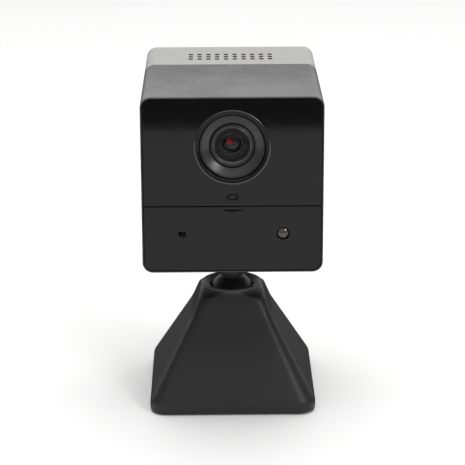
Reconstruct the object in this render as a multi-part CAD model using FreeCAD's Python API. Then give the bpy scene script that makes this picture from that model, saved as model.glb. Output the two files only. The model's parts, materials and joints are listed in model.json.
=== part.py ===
import FreeCAD, Part
import math
import os

# Compact battery security camera on a ball joint, in millimetres.
# Origin: centre of the foot, on the surface that it stands on. +Z is up, -Y is the way the lens looks, +X is
# to the right for someone who faces the lens.

# ---- head housing ----
HEAD_W = 51.0
HEAD_H = 51.0
HEAD_D = 66.5
HEAD_CORNER_R = 3.0
HEAD_REAR_R = 1.6
WALL = 1.8
REAR_WALL = 2.0
SLEEVE_L = 40.75
LIP_W = 0.4
POCKET_DEPTH = 2.4
TONGUE_L = 5.0
TONGUE_WALL = 1.4
FIT = 0.1

# ---- ball joint ----
BALL_R = 6.9
BALL_DROP = 4.3
STEM_R = 3.0
STEM_CLEAR = 0.3
RUNNING_GAP = 0.05
NECK_RISE = 18.15
COLLAR_R = 6.5
COLLAR_H = 3.5
NECK_PLATE_T = 1.2

# ---- base ----
BASE_SIDE = 49.0
BASE_CORNER_R = 5.0
BASE_WALL = 2.0
BASE_BAND_Z = 3.8
SHOULDER_Z = 26.0
SHOULDER_HALF = 11.9
SHOULDER_CORNER_R = 2.6
CREASE_SHARE = 0.77
CREASE_TOP_R = 3.2
RIM_Z = 33.9
RIM_W = 2.3
RIM_ROUND = 0.6
RIM_SINK = 1.3
SHELL_CLEAR_Z = 0.4
FOOT_T = 1.0
BASE_PLATE_T = 1.6
BALLAST_T = 8.0
LINER_WALL = 1.0
LINER_DROP = 4.6
LINER_STEP = 1.0
PAD_DEPTH = 9.0
RETAINER_T = 1.6

# ---- front ----
PANEL_SINK = 0.2
PANEL_EDGE_R = 0.2
SEAM_DROP = 6.05
SEAM_GAP = 0.2
COVER_BACK_GAP = 0.3
FRAME_T = 2.0
NOTCH_CHORD_DROP = 0.95
NOTCH_H = 0.55
NOTCH_R = 11.0
NOTCH_DEPTH = 0.9
SIGNAL_DROP = 14.1
SIGNAL_INSET = 11.3
MIC_HOLE_R = 1.0
DOME_HOLE_R = 1.75
DOME_R = 1.5
STATUS_DROP = 3.3
STATUS_W = 3.1
STATUS_H = 1.7
TAB_W = 3.0
TAB_T = 1.4
TAB_L = 4.0
TAB_GAP = 0.4
TAB_INSET = 4.2

# ---- lens ----
LENS_RISE = 11.0
TRIM_R = 10.7
BEZEL_R = 9.1
BARREL_R = 6.2
BARREL_L = 12.0
BARREL_SINK = 1.85
FRONT_LENS_R = 5.0
REAR_LENS_R = 3.2
HOLDER_R = 8.4
SLIDE_TRAVEL = 6.0

# ---- speaker slots ----
SLOT_COLUMNS = 10
SLOT_ROWS = 3
SLOT_PITCH_X = 2.64
SLOT_PITCH_Y = 3.1
SLOT_W = 1.3
SLOT_L = 1.9
SLOT_CENTRE_FROM_REAR = 15.25
SLOT_CORNER_R = 0.3

# ---- boards and fasteners ----
BOARD_T = 1.2
SCREW_R = 0.8
SCREW_HEAD_R = 1.6
SCREW_HEAD_T = 1.1
DRIVE_R = SCREW_HEAD_R * 0.45
BLIND_END = 0.8
POST_R = 2.4
POST_INSET = 3.3

# ---- derived places ----
BALL_Z = RIM_Z - BALL_DROP
HEAD_BOTTOM = BALL_Z + NECK_RISE
HEAD_Z = HEAD_BOTTOM + HEAD_H / 2
FRONT_Y = -HEAD_D / 2
REAR_Y = HEAD_D / 2
SEAM_Y = FRONT_Y + SLEEVE_L
IN_X = HEAD_W / 2 - WALL
IN_Z = HEAD_H / 2 - WALL
IN_CORNER_R = HEAD_CORNER_R - WALL
PANEL_Y = FRONT_Y + PANEL_SINK
LEDGE_Y = FRONT_Y + POCKET_DEPTH
FRAME_BACK_Y = LEDGE_Y + FRAME_T
PANEL_HALF_X = HEAD_W / 2 - LIP_W - FIT
PANEL_HALF_Z = HEAD_H / 2 - LIP_W - FIT
PANEL_CORNER_R = HEAD_CORNER_R - LIP_W - FIT
LENS_Z = HEAD_Z + LENS_RISE
SEAM_Z = HEAD_Z - SEAM_DROP
SIGNAL_X = HEAD_W / 2 - SIGNAL_INSET
SIGNAL_Z = HEAD_Z - SIGNAL_DROP
STATUS_Z = HEAD_Z - STATUS_DROP
RIM_R = BALL_R + RIM_W
OPENING_R = BALL_R - 0.1
SOCKET_R = BALL_R + RUNNING_GAP + LINER_WALL + RUNNING_GAP
BARREL_Y = FRONT_Y + BARREL_SINK
BARREL_BACK_Y = BARREL_Y + BARREL_L
HOLDER_BLOCK_HALF_X = SLIDE_TRAVEL + 5.0
HOLDER_BLOCK_HALF_Z = 8.4
HOLDER_BLOCK_T = 4.0
HOLDER_BACK_Y = BARREL_BACK_Y + HOLDER_BLOCK_T
SLOT_MID_Y = BARREL_BACK_Y + HOLDER_BLOCK_T / 2
FRONT_BOARD_GAP = 1.4
FRONT_BOARD_Y = FRAME_BACK_Y + FRONT_BOARD_GAP
IO_BOARD_DROP = 4.0
IO_BOARD_Z = SIGNAL_Z - IO_BOARD_DROP
IO_TOP = IO_BOARD_Z + BOARD_T
TONGUE_Y = SEAM_Y - TONGUE_L
TONGUE_ROOT_Y = SEAM_Y + 1.5
CRADLE_Y = TONGUE_ROOT_Y + FIT
MAIN_BOARD_Y = CRADLE_Y - 10.0
CRADLE_WALL = 1.2
CELL_T = 14.0
CELL_GAP = 0.2
REAR_INNER_Y = REAR_Y - REAR_WALL
POWER_BOARD_Y = REAR_INNER_Y - 3.8
POWER_ROW_Z = HEAD_Z - HEAD_H / 2 + 10.5
BUTTON_X = 10.0
BUTTON_R = 3.0
PORT_X = -8.0
PORT_W = 9.6
PORT_H = 3.6
FLAP_W = 13.6
FLAP_H = 7.4
FLAP_T = 0.7
HINGE_R = 0.8
HINGE_PIN_R = 0.35
HINGE_CLEAR = 0.3
POST_X = IN_X - POST_INSET
POST_Z = IN_Z - POST_INSET


def vec(x, y, z):
    return FreeCAD.Vector(x, y, z)


def block(x0, x1, y0, y1, z0, z1):
    return Part.makeBox(x1 - x0, y1 - y0, z1 - z0, vec(x0, y0, z0))


def plate(half_x, half_z, y0, y1, z_mid, x_mid=0.0):
    return block(x_mid - half_x, x_mid + half_x, y0, y1, z_mid - half_z, z_mid + half_z)


def rod_y(radius, y0, y1, x, z):
    return Part.makeCylinder(radius, y1 - y0, vec(x, y0, z), vec(0, 1, 0))


def rod_z(radius, z0, z1, x=0.0, y=0.0):
    return Part.makeCylinder(radius, z1 - z0, vec(x, y, z0), vec(0, 0, 1))


def rod_x(radius, x0, x1, y, z):
    return Part.makeCylinder(radius, x1 - x0, vec(x0, y, z), vec(1, 0, 0))


def edges_along(shape, axis):
    found = []
    for edge in shape.Edges:
        first = edge.Vertexes[0].Point
        last = edge.Vertexes[-1].Point
        run = last - first
        if run.Length > 1e-6 and abs(abs(run.normalize().dot(axis)) - 1) < 1e-6:
            found.append(edge)
    return found


def rounded(shape, axis, radius):
    return shape.makeFillet(radius, edges_along(shape, axis))


def rounded_y(half_x, half_z, radius, y0, y1, z_mid):
    return rounded(plate(half_x, half_z, y0, y1, z_mid), vec(0, 1, 0), radius)


def rounded_z(half, radius, z0, z1):
    return rounded(block(-half, half, -half, half, z0, z1), vec(0, 0, 1), radius)


def oblong_y(width, height, y0, y1, x, z):
    radius = height / 2
    offset = width / 2 - radius
    middle = block(x - offset, x + offset, y0, y1, z - radius, z + radius)
    ends = [rod_y(radius, y0, y1, x + side * offset, z) for side in (-1, 1)]
    return middle.fuse(ends).removeSplitter()


def turned(profile, origin, axis, radial):
    """Solid of revolution. profile lists (radius, height) corners of a closed outline."""
    points = [origin + radial * r + axis * h for r, h in profile]
    face = Part.Face(Part.makePolygon(points + [points[0]]))
    return face.revolve(origin, axis, 360)


def turned_y(profile, x, z):
    return turned(profile, vec(x, 0, z), vec(0, 1, 0), vec(1, 0, 0))


def turned_z(profile):
    return turned(profile, vec(0, 0, 0), vec(0, 0, 1), vec(1, 0, 0))


def screw_y(x, z, head_y, length, direction):
    """Pan-head screw along Y; the head grows from head_y against direction, the shank along it."""
    axis = vec(0, direction, 0)
    head = Part.makeCylinder(SCREW_HEAD_R, SCREW_HEAD_T, vec(x, head_y, z), axis * -1)
    shank = Part.makeCylinder(SCREW_R, length, vec(x, head_y, z), axis)
    drive = Part.makeCylinder(DRIVE_R, SCREW_HEAD_T / 2,
                              vec(x, head_y - direction * SCREW_HEAD_T, z), axis)
    return head.fuse(shank).cut(drive)


def screw_z(x, y, head_z, length, direction):
    axis = vec(0, 0, direction)
    head = Part.makeCylinder(SCREW_HEAD_R, SCREW_HEAD_T, vec(x, y, head_z), axis * -1)
    shank = Part.makeCylinder(SCREW_R, length, vec(x, y, head_z), axis)
    drive = Part.makeCylinder(DRIVE_R, SCREW_HEAD_T / 2,
                              vec(x, y, head_z - direction * SCREW_HEAD_T), axis)
    return head.fuse(shank).cut(drive)


def corners(half_a, half_b):
    return [(a * half_a, b * half_b) for a in (-1, 1) for b in (-1, 1)]


# ---------------------------------------------------------------- base

def square_section(half, radius, z):
    """Rounded square of eight edges, starting on the +X face."""
    flat = half - radius
    edges = []
    for turn in range(4):
        angle = math.radians(90 * turn)

        def at(x, y, a=angle):
            return vec(x * math.cos(a) - y * math.sin(a), x * math.sin(a) + y * math.cos(a), z)

        diagonal = flat + radius * math.sqrt(0.5)
        edges.append(Part.LineSegment(at(half, -flat), at(half, flat)).toShape())
        edges.append(Part.Arc(at(half, flat), at(diagonal, diagonal), at(flat, half)).toShape())
    return Part.Wire(edges)


def round_section(radius, z):
    """Circle of eight arcs that match the edges of a rounded square."""
    edges = []
    limits = [(start, start + span) for turn in range(4)
              for start, span in ((90 * turn - 30, 60), (90 * turn + 30, 30))]
    for first, last in limits:
        points = [vec(radius * math.cos(math.radians(a)), radius * math.sin(math.radians(a)), z)
                  for a in (first, (first + last) / 2, last)]
        edges.append(Part.Arc(*points).toShape())
    return Part.Wire(edges)


def face_half(z):
    """Half width of the pyramid's faces at height z, between the band and the shoulder."""
    share = (z - BASE_BAND_Z) / (SHOULDER_Z - BASE_BAND_Z)
    return BASE_SIDE / 2 + (SHOULDER_HALF - BASE_SIDE / 2) * share


SOCKET_FLOOR_Z = BALL_Z - PAD_DEPTH
PLATE_Z = FOOT_T
CAVITY_Z = PLATE_Z + BASE_PLATE_T
BASE_POST_OUT = 1.1
BASE_POST_H = 4.4
BASE_POST_AT = BASE_SIDE / 2 - BASE_WALL - BASE_CORNER_R + BASE_POST_OUT
BASE_POST_TOP = CAVITY_Z + BASE_POST_H
RETAINER_HOLE_DEPTH = 4.2
RETAINER_SCREW_GRIP = 3.6
RIM_START_Z = RIM_Z - RIM_ROUND
LINER_TOP_Z = RIM_START_Z - LINER_STEP
LINER_LOW_Z = BALL_Z - LINER_DROP


def rim_cap():
    """Round rim: a quarter-round outer edge and a shallow countersink down to the ball's opening."""
    half_turn = math.sqrt(0.5) * RIM_ROUND
    centre_r = RIM_R - RIM_ROUND
    start = vec(RIM_R, 0, RIM_START_Z)
    middle = vec(centre_r + half_turn, 0, RIM_START_Z + half_turn)
    top = vec(centre_r, 0, RIM_Z)
    sink = vec(OPENING_R, 0, RIM_Z - RIM_SINK)
    floor_in = vec(OPENING_R, 0, LINER_TOP_Z)
    floor_out = vec(RIM_R - LINER_STEP, 0, LINER_TOP_Z)
    shelf = vec(RIM_R - LINER_STEP, 0, RIM_START_Z)
    edges = [Part.Arc(start, middle, top).toShape()]
    rest = [top, sink, floor_in, floor_out, shelf, start]
    edges += [Part.LineSegment(a, b).toShape() for a, b in zip(rest, rest[1:])]
    return Part.Face(Part.Wire(edges)).revolve(vec(0, 0, 0), vec(0, 0, 1), 360)


def base_outline():
    """Pyramid whose creases stay tight past the shoulder and then run out into the round rim."""
    crease_z = SHOULDER_Z + (RIM_START_Z - SHOULDER_Z) * CREASE_SHARE
    crease_half = SHOULDER_HALF + (RIM_R - SHOULDER_HALF) * CREASE_SHARE
    sections = [square_section(BASE_SIDE / 2, BASE_CORNER_R, SHELL_CLEAR_Z),
                square_section(BASE_SIDE / 2, BASE_CORNER_R, BASE_BAND_Z),
                square_section(SHOULDER_HALF, SHOULDER_CORNER_R, SHOULDER_Z),
                square_section(crease_half, CREASE_TOP_R, crease_z),
                round_section(RIM_R, RIM_START_Z)]
    return Part.makeLoft(sections, True, True)


def base_cavity():
    low = BASE_SIDE / 2 - BASE_WALL
    high = face_half(SOCKET_FLOOR_Z) - BASE_WALL
    sections = [square_section(low, BASE_CORNER_R - BASE_WALL, SHELL_CLEAR_Z - 1.0),
                square_section(low, BASE_CORNER_R - BASE_WALL, BASE_BAND_Z),
                square_section(high, SHOULDER_CORNER_R, SOCKET_FLOOR_Z)]
    return Part.makeLoft(sections, True, True)


def base_shell():
    shell = base_outline()
    posts = [rod_z(POST_R, CAVITY_Z, BASE_POST_TOP, x, y) for x, y in corners(BASE_POST_AT, BASE_POST_AT)]
    outside = shell.copy()
    shell = shell.cut(base_cavity())
    webs = [post.common(outside) for post in posts]
    shell = shell.fuse(webs + [rim_cap()])
    shell = shell.cut(rod_z(SOCKET_R, SOCKET_FLOOR_Z - LINER_STEP, LINER_TOP_Z))
    shell = shell.cut(rod_z(OPENING_R, SOCKET_FLOOR_Z, RIM_Z))
    for x, y in corners(BASE_POST_AT, BASE_POST_AT):
        shell = shell.cut(rod_z(SCREW_R, CAVITY_Z, BASE_POST_TOP - BLIND_END, x, y))
    for x, y in retainer_places():
        shell = shell.cut(rod_z(SCREW_R, SOCKET_FLOOR_Z, SOCKET_FLOOR_Z + RETAINER_HOLE_DEPTH, x, y))
    return shell.removeSplitter()


def retainer_places():
    ring = SOCKET_R + SCREW_R + 1.0
    return [(ring * math.cos(a), ring * math.sin(a)) for a in (math.radians(90 + 120 * k) for k in range(3))]


def base_plate():
    half = BASE_SIDE / 2 - BASE_WALL - FIT
    body = rounded_z(half, BASE_CORNER_R - BASE_WALL, PLATE_Z, CAVITY_Z)
    for x, y in corners(BASE_POST_AT, BASE_POST_AT):
        body = body.cut(rod_z(SCREW_R, PLATE_Z, CAVITY_Z, x, y))
        body = body.cut(rod_z(SCREW_HEAD_R + FIT, PLATE_Z, PLATE_Z + SCREW_HEAD_T, x, y))
    return body


FOOT_INSET = 1.0
FOOT_CHAMFER = 0.3


def foot_pad():
    half = BASE_SIDE / 2 - BASE_WALL - FOOT_INSET
    pad = rounded_z(half, BASE_CORNER_R - BASE_WALL, 0.0, FOOT_T)
    lower = [edge for edge in pad.Edges if edge.BoundBox.ZMax < 1e-6]
    return pad.makeChamfer(FOOT_CHAMFER, lower)


def base_screws():
    head_z = PLATE_Z + SCREW_HEAD_T
    return [screw_z(x, y, head_z, BASE_POST_TOP - head_z - 2 * BLIND_END, 1)
            for x, y in corners(BASE_POST_AT, BASE_POST_AT)]


BALLAST_GAP = 1.2
BALLAST_CORNER_R = 2.0
BALLAST_POST_GAP = 0.6


def ballast():
    """Steel weight between the sloping walls, cut back round the four screw posts."""
    half = face_half(CAVITY_Z + BALLAST_T) - BASE_WALL - BALLAST_GAP
    body = rounded_z(half, BALLAST_CORNER_R, CAVITY_Z, CAVITY_Z + BALLAST_T)
    for x, y in corners(BASE_POST_AT, BASE_POST_AT):
        body = body.cut(rod_z(POST_R + BALLAST_POST_GAP, CAVITY_Z, CAVITY_Z + BALLAST_T, x, y))
    return body


def socket_liner():
    """Ring that turns in the base and wraps the ball above and below its middle."""
    ring = rod_z(SOCKET_R - RUNNING_GAP, LINER_LOW_Z, LINER_TOP_Z - FIT)
    return ring.cut(Part.makeSphere(BALL_R + RUNNING_GAP, vec(0, 0, BALL_Z)))


def ball_pad():
    """Rubber cup that presses the ball up against its liner."""
    pad = rod_z(SOCKET_R - RUNNING_GAP, SOCKET_FLOOR_Z, LINER_LOW_Z - FIT)
    return pad.cut(Part.makeSphere(BALL_R + RUNNING_GAP, vec(0, 0, BALL_Z)))


def ball_retainer():
    radius = face_half(SOCKET_FLOOR_Z) - BASE_WALL - FOOT_INSET
    disc = rod_z(radius, SOCKET_FLOOR_Z - RETAINER_T, SOCKET_FLOOR_Z)
    for x, y in retainer_places():
        disc = disc.cut(rod_z(SCREW_R, SOCKET_FLOOR_Z - RETAINER_T, SOCKET_FLOOR_Z, x, y))
    return disc


def retainer_screws():
    return [screw_z(x, y, SOCKET_FLOOR_Z - RETAINER_T, RETAINER_T + RETAINER_SCREW_GRIP, 1)
            for x, y in retainer_places()]


# ---------------------------------------------------------------- ball and neck

STEM_TOP = HEAD_BOTTOM + WALL + NECK_PLATE_T + FIT
WASHER_T = 0.8
WASHER_OVERHANG = 2.0
STEM_SCREW_R = 1.25
STEM_SCREW_DEPTH = 8.0
STEM_SCREW_HEAD_T = 1.5
STEM_FLARE = 0.4
FLARE_SINK = 1.2
FLARE_RISE = 1.4


def ball_stud():
    """Ball, with a stem that flares where it leaves the ball and is tapped at its top."""
    stud = Part.makeSphere(BALL_R, vec(0, 0, BALL_Z)).fuse(rod_z(STEM_R, BALL_Z, STEM_TOP))
    ball_top = BALL_Z + BALL_R
    flare = turned_z([(0, ball_top - FLARE_SINK), (STEM_R + STEM_FLARE, ball_top - FLARE_SINK),
                      (STEM_R, ball_top + FLARE_RISE), (0, ball_top + FLARE_RISE)])
    stud = stud.fuse(flare)
    return stud.cut(rod_z(STEM_SCREW_R, STEM_TOP - STEM_SCREW_DEPTH, STEM_TOP)).removeSplitter()


def stem_washer():
    disc = rod_z(STEM_R + WASHER_OVERHANG, STEM_TOP, STEM_TOP + WASHER_T)
    return disc.cut(rod_z(STEM_SCREW_R, STEM_TOP, STEM_TOP + WASHER_T))


def stem_screw():
    top = STEM_TOP + WASHER_T
    head_top = top + STEM_SCREW_HEAD_T
    head = rod_z(STEM_SCREW_R * 2, top, head_top)
    shank = rod_z(STEM_SCREW_R, STEM_TOP - STEM_SCREW_DEPTH + BLIND_END, top)
    drive = rod_z(STEM_SCREW_R * 0.9, head_top - BLIND_END, head_top)
    return head.fuse(shank).cut(drive)


COLLAR_CHAMFER = 0.8
NECK_HOLE_DEPTH = 2.6
NECK_SCREW_GRIP = 2.2


def neck_places():
    at = COLLAR_R - SCREW_R - COLLAR_CHAMFER
    return [(at * math.cos(a), at * math.sin(a)) for a in (math.radians(45 + 90 * k) for k in range(4))]


def neck_collar():
    bottom = HEAD_BOTTOM - COLLAR_H
    bore = STEM_R + RUNNING_GAP
    collar = turned_z([(bore, bottom), (COLLAR_R - COLLAR_CHAMFER, bottom),
                       (COLLAR_R, bottom + COLLAR_CHAMFER), (COLLAR_R, HEAD_BOTTOM), (bore, HEAD_BOTTOM)])
    for x, y in neck_places():
        collar = collar.cut(rod_z(SCREW_R, HEAD_BOTTOM - NECK_HOLE_DEPTH, HEAD_BOTTOM, x, y))
    return collar


NECK_PLATE_HALF = COLLAR_R + 0.6
NECK_PLATE_CORNER_R = 1.5


def neck_plate():
    low = HEAD_BOTTOM + WALL
    body = rounded_z(NECK_PLATE_HALF, NECK_PLATE_CORNER_R, low, low + NECK_PLATE_T)
    body = body.cut(rod_z(STEM_R + STEM_CLEAR, low, low + NECK_PLATE_T))
    for x, y in neck_places():
        body = body.cut(rod_z(SCREW_R, low, low + NECK_PLATE_T, x, y))
    return body


def neck_screws():
    """Flush-head studs from the plate down into the collar, clear of the turning washer."""
    top = HEAD_BOTTOM + WALL + NECK_PLATE_T
    return [rod_z(SCREW_R, HEAD_BOTTOM - NECK_SCREW_GRIP, top, x, y) for x, y in neck_places()]


# ---------------------------------------------------------------- head housing

LUG_L = 6.8
LUG_HOLE_L = LUG_L - 1.0
LUG_OVERLAP = 0.5
UNDER_SCREW_SHARE = 0.62
UNDER_SCREW_X = IN_X * UNDER_SCREW_SHARE
UNDER_SCREW_Y = SEAM_Y - TONGUE_L / 2


def front_sleeve():
    body = rounded_y(HEAD_W / 2, HEAD_H / 2, HEAD_CORNER_R, FRONT_Y, SEAM_Y, HEAD_Z)
    front_edges = [edge for edge in body.Edges if edge.BoundBox.YMax < FRONT_Y + 1e-6]
    body = body.makeFillet(LIP_W * 0.5, front_edges)
    outside = body.copy()
    body = body.cut(rounded_y(IN_X, IN_Z, IN_CORNER_R, FRONT_Y, SEAM_Y, HEAD_Z))
    body = body.cut(rounded_y(HEAD_W / 2 - LIP_W, HEAD_H / 2 - LIP_W, HEAD_CORNER_R - LIP_W,
                              FRONT_Y, LEDGE_Y, HEAD_Z))
    lugs = [rod_y(POST_R, FRAME_BACK_Y, FRAME_BACK_Y + LUG_L, x, HEAD_Z + z).fuse(
            lug_web(x, z)).common(outside) for x, z in corners(POST_X, POST_Z)]
    body = body.fuse(lugs)
    for x, z in corners(POST_X, POST_Z):
        body = body.cut(rod_y(SCREW_R, FRAME_BACK_Y, FRAME_BACK_Y + LUG_HOLE_L, x, HEAD_Z + z))
    body = body.cut(rod_z(STEM_R + STEM_CLEAR, HEAD_BOTTOM, HEAD_BOTTOM + WALL))
    for x, y in neck_places():
        body = body.cut(rod_z(SCREW_R, HEAD_BOTTOM, HEAD_BOTTOM + WALL, x, y))
    for side in (-1, 1):
        body = body.cut(under_screw_hole(side))
    return body.removeSplitter()


def lug_web(x, z):
    """Solid corner that ties a screw lug to the walls."""
    x_far = math.copysign(IN_X + LUG_OVERLAP, x)
    z_far = math.copysign(IN_Z + LUG_OVERLAP, z)
    return block(min(x, x_far), max(x, x_far), FRAME_BACK_Y, FRAME_BACK_Y + LUG_L,
                 HEAD_Z + min(z, z_far), HEAD_Z + max(z, z_far))


UNDER_SCREW_L = WALL - SCREW_HEAD_T + FIT + TONGUE_WALL


def under_screw_hole(side):
    head_z = HEAD_BOTTOM + SCREW_HEAD_T
    head = rod_z(SCREW_HEAD_R, HEAD_BOTTOM, head_z, side * UNDER_SCREW_X, UNDER_SCREW_Y)
    return head.fuse(rod_z(SCREW_R, HEAD_BOTTOM, head_z + UNDER_SCREW_L, side * UNDER_SCREW_X, UNDER_SCREW_Y))


def underside_screws():
    head_z = HEAD_BOTTOM + SCREW_HEAD_T
    return [screw_z(side * UNDER_SCREW_X, UNDER_SCREW_Y, head_z, UNDER_SCREW_L, 1) for side in (-1, 1)]


def speaker_slots():
    y_mid = REAR_Y - SLOT_CENTRE_FROM_REAR
    top = HEAD_Z + HEAD_H / 2
    slots = []
    for column in range(SLOT_COLUMNS):
        x = (column - (SLOT_COLUMNS - 1) / 2) * SLOT_PITCH_X
        for row in range(SLOT_ROWS):
            y = y_mid + (row - (SLOT_ROWS - 1) / 2) * SLOT_PITCH_Y
            slot = block(x - SLOT_W / 2, x + SLOT_W / 2, y - SLOT_L / 2, y + SLOT_L / 2, top - WALL, top)
            slots.append(rounded(slot, vec(0, 0, 1), SLOT_CORNER_R))
    return slots


def rear_shell():
    body = rounded_y(HEAD_W / 2, HEAD_H / 2, HEAD_CORNER_R, SEAM_Y, REAR_Y, HEAD_Z)
    rear_edges = [edge for edge in body.Edges if edge.BoundBox.YMin > REAR_Y - 1e-6]
    body = body.makeFillet(HEAD_REAR_R, rear_edges)
    body = body.cut(rounded_y(IN_X, IN_Z, IN_CORNER_R, SEAM_Y, REAR_INNER_Y, HEAD_Z))
    body = body.fuse([tongue()] + rear_posts()).cut(housing_gasket())
    body = body.cut(Part.makeCompound(speaker_slots()))
    body = body.cut(rod_y(BUTTON_R + RUNNING_GAP * 2, REAR_INNER_Y, REAR_Y, BUTTON_X, POWER_ROW_Z))
    body = body.cut(flap_pocket())
    body = body.cut(oblong_y(PORT_W, PORT_H, REAR_INNER_Y, REAR_Y, PORT_X, POWER_ROW_Z))
    for x, z in corners(POST_X, POST_Z):
        body = body.cut(rod_y(SCREW_R, REAR_POST_Y, REAR_POST_Y + REAR_HOLE_L, x, HEAD_Z + z))
    for side in (-1, 1):
        body = body.cut(under_screw_hole(side))
    return body.removeSplitter()


REAR_POST_Y = CRADLE_Y + CRADLE_WALL
REAR_HOLE_L = 7.0
GASKET_T = 0.8
GASKET_INNER_SHARE = 0.25
GASKET_OUTER_SHARE = 0.7
TONGUE_NOTCH_GAP = 0.4
TONGUE_NOTCH_H = 4.0


def tongue():
    """Spigot that slides into the sleeve and then widens to meet the shell's own wall."""
    outer_x = IN_X - FIT
    outer_z = IN_Z - FIT
    inner_x = outer_x - TONGUE_WALL
    inner_z = outer_z - TONGUE_WALL
    spigot = rounded_y(outer_x, outer_z, IN_CORNER_R, TONGUE_Y, SEAM_Y, HEAD_Z)
    spigot = spigot.fuse(rounded_y(IN_X, IN_Z, IN_CORNER_R, SEAM_Y, TONGUE_ROOT_Y, HEAD_Z))
    spigot = spigot.cut(rounded_y(inner_x, inner_z, IN_CORNER_R, TONGUE_Y, TONGUE_ROOT_Y, HEAD_Z))
    half = NECK_PLATE_HALF + TONGUE_NOTCH_GAP
    return spigot.cut(block(-half, half, TONGUE_Y, SEAM_Y, HEAD_BOTTOM, HEAD_BOTTOM + WALL + TONGUE_NOTCH_H))


def rear_posts():
    return [rod_y(POST_R, REAR_POST_Y, REAR_INNER_Y + LUG_OVERLAP, x, HEAD_Z + z)
            for x, z in corners(POST_X, POST_Z)]


HINGE_Y = REAR_Y - HINGE_R - FIT
HINGE_Z = POWER_ROW_Z - FLAP_H / 2 + HINGE_R
PIN_END = 1.0
FLAP_CORNER_R = 1.0
NAIL_R = 1.0
NAIL_HALF = 2.0
NAIL_OUT = 0.7


def flap_pocket():
    """Recess that the rubber flap closes flush, deeper along its hinge."""
    half_w = FLAP_W / 2 + FIT * 2
    low = HINGE_Z - HINGE_R - HINGE_CLEAR
    high = POWER_ROW_Z + FLAP_H / 2 + FIT * 2
    pocket = block(PORT_X - half_w, PORT_X + half_w, REAR_Y - FLAP_T - HINGE_CLEAR, REAR_Y, low, high)
    groove = rod_x(HINGE_R + HINGE_CLEAR, PORT_X - half_w, PORT_X + half_w, HINGE_Y, HINGE_Z)
    pin = rod_x(HINGE_PIN_R, PORT_X - half_w - PIN_END, PORT_X + half_w + PIN_END, HINGE_Y, HINGE_Z)
    return pocket.fuse([groove, pin])


def port_flap():
    half_w = FLAP_W / 2
    low = HINGE_Z
    high = POWER_ROW_Z + FLAP_H / 2
    outer = HINGE_Y + HINGE_R
    panel = block(PORT_X - half_w, PORT_X + half_w, outer - FLAP_T, outer, low, high)
    top_edges = [edge for edge in edges_along(panel, vec(0, 1, 0)) if edge.BoundBox.ZMin > high - 1e-6]
    panel = panel.makeFillet(FLAP_CORNER_R, top_edges)
    barrel = rod_x(HINGE_R, PORT_X - half_w, PORT_X + half_w, HINGE_Y, HINGE_Z)
    panel = panel.fuse(barrel)
    panel = panel.cut(rod_x(HINGE_PIN_R + RUNNING_GAP, PORT_X - half_w, PORT_X + half_w, HINGE_Y, HINGE_Z))
    nail = rod_x(NAIL_R, PORT_X - NAIL_HALF, PORT_X + NAIL_HALF, outer + NAIL_OUT, high - NAIL_R)
    return panel.cut(nail).removeSplitter()


def flap_pin():
    half_w = FLAP_W / 2 + PIN_END
    return rod_x(HINGE_PIN_R, PORT_X - half_w, PORT_X + half_w, HINGE_Y, HINGE_Z)


def housing_gasket():
    """Rubber loop in a groove in the rear shell's front face, squeezed by the sleeve's end."""
    inner = WALL * GASKET_INNER_SHARE
    outer = WALL * GASKET_OUTER_SHARE
    back = SEAM_Y + GASKET_T
    loop = rounded_y(IN_X + outer, IN_Z + outer, IN_CORNER_R + outer, SEAM_Y, back, HEAD_Z)
    return loop.cut(rounded_y(IN_X + inner, IN_Z + inner, IN_CORNER_R + inner, SEAM_Y, back, HEAD_Z))


# ---------------------------------------------------------------- front

CUT_MARGIN = 1.0


def softened(panel, keep_sharp=()):
    """Panel with its front edges rounded, apart from round holes of the radii in keep_sharp."""
    edges = []
    for edge in panel.Edges:
        in_face = edge.BoundBox.YMax < PANEL_Y + 1e-6
        radius = getattr(edge.Curve, "Radius", 0.0)
        if in_face and not any(abs(radius - sharp) < 1e-6 for sharp in keep_sharp):
            edges.append(edge)
    return panel.makeFillet(PANEL_EDGE_R, edges)


def front_blank(y_back):
    return rounded_y(PANEL_HALF_X, PANEL_HALF_Z, PANEL_CORNER_R, PANEL_Y, y_back, HEAD_Z)


def front_panel():
    wide = PANEL_HALF_X + CUT_MARGIN
    upper = block(-wide, wide, FRONT_Y, LEDGE_Y, SEAM_Z + SEAM_GAP / 2, HEAD_Z + HEAD_H)
    panel = front_blank(LEDGE_Y).common(upper)
    panel = panel.cut(rod_y(TRIM_R, FRONT_Y, LEDGE_Y, 0, LENS_Z))
    panel = panel.cut(oblong_y(STATUS_W, STATUS_H, FRONT_Y, LEDGE_Y, 0, STATUS_Z))
    return softened(panel, keep_sharp=(TRIM_R,))


def finger_notch():
    chord_z = SEAM_Z - NOTCH_CHORD_DROP
    low_z = chord_z - NOTCH_H
    disc = rod_y(NOTCH_R, PANEL_Y, PANEL_Y + NOTCH_DEPTH, 0, low_z + NOTCH_R)
    below = block(-NOTCH_R, NOTCH_R, PANEL_Y, PANEL_Y + NOTCH_DEPTH, low_z - CUT_MARGIN, chord_z)
    return disc.common(below)


def cover_tab_places():
    return [(side * (IN_X - TAB_INSET), SIGNAL_Z) for side in (-1, 1)]


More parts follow.
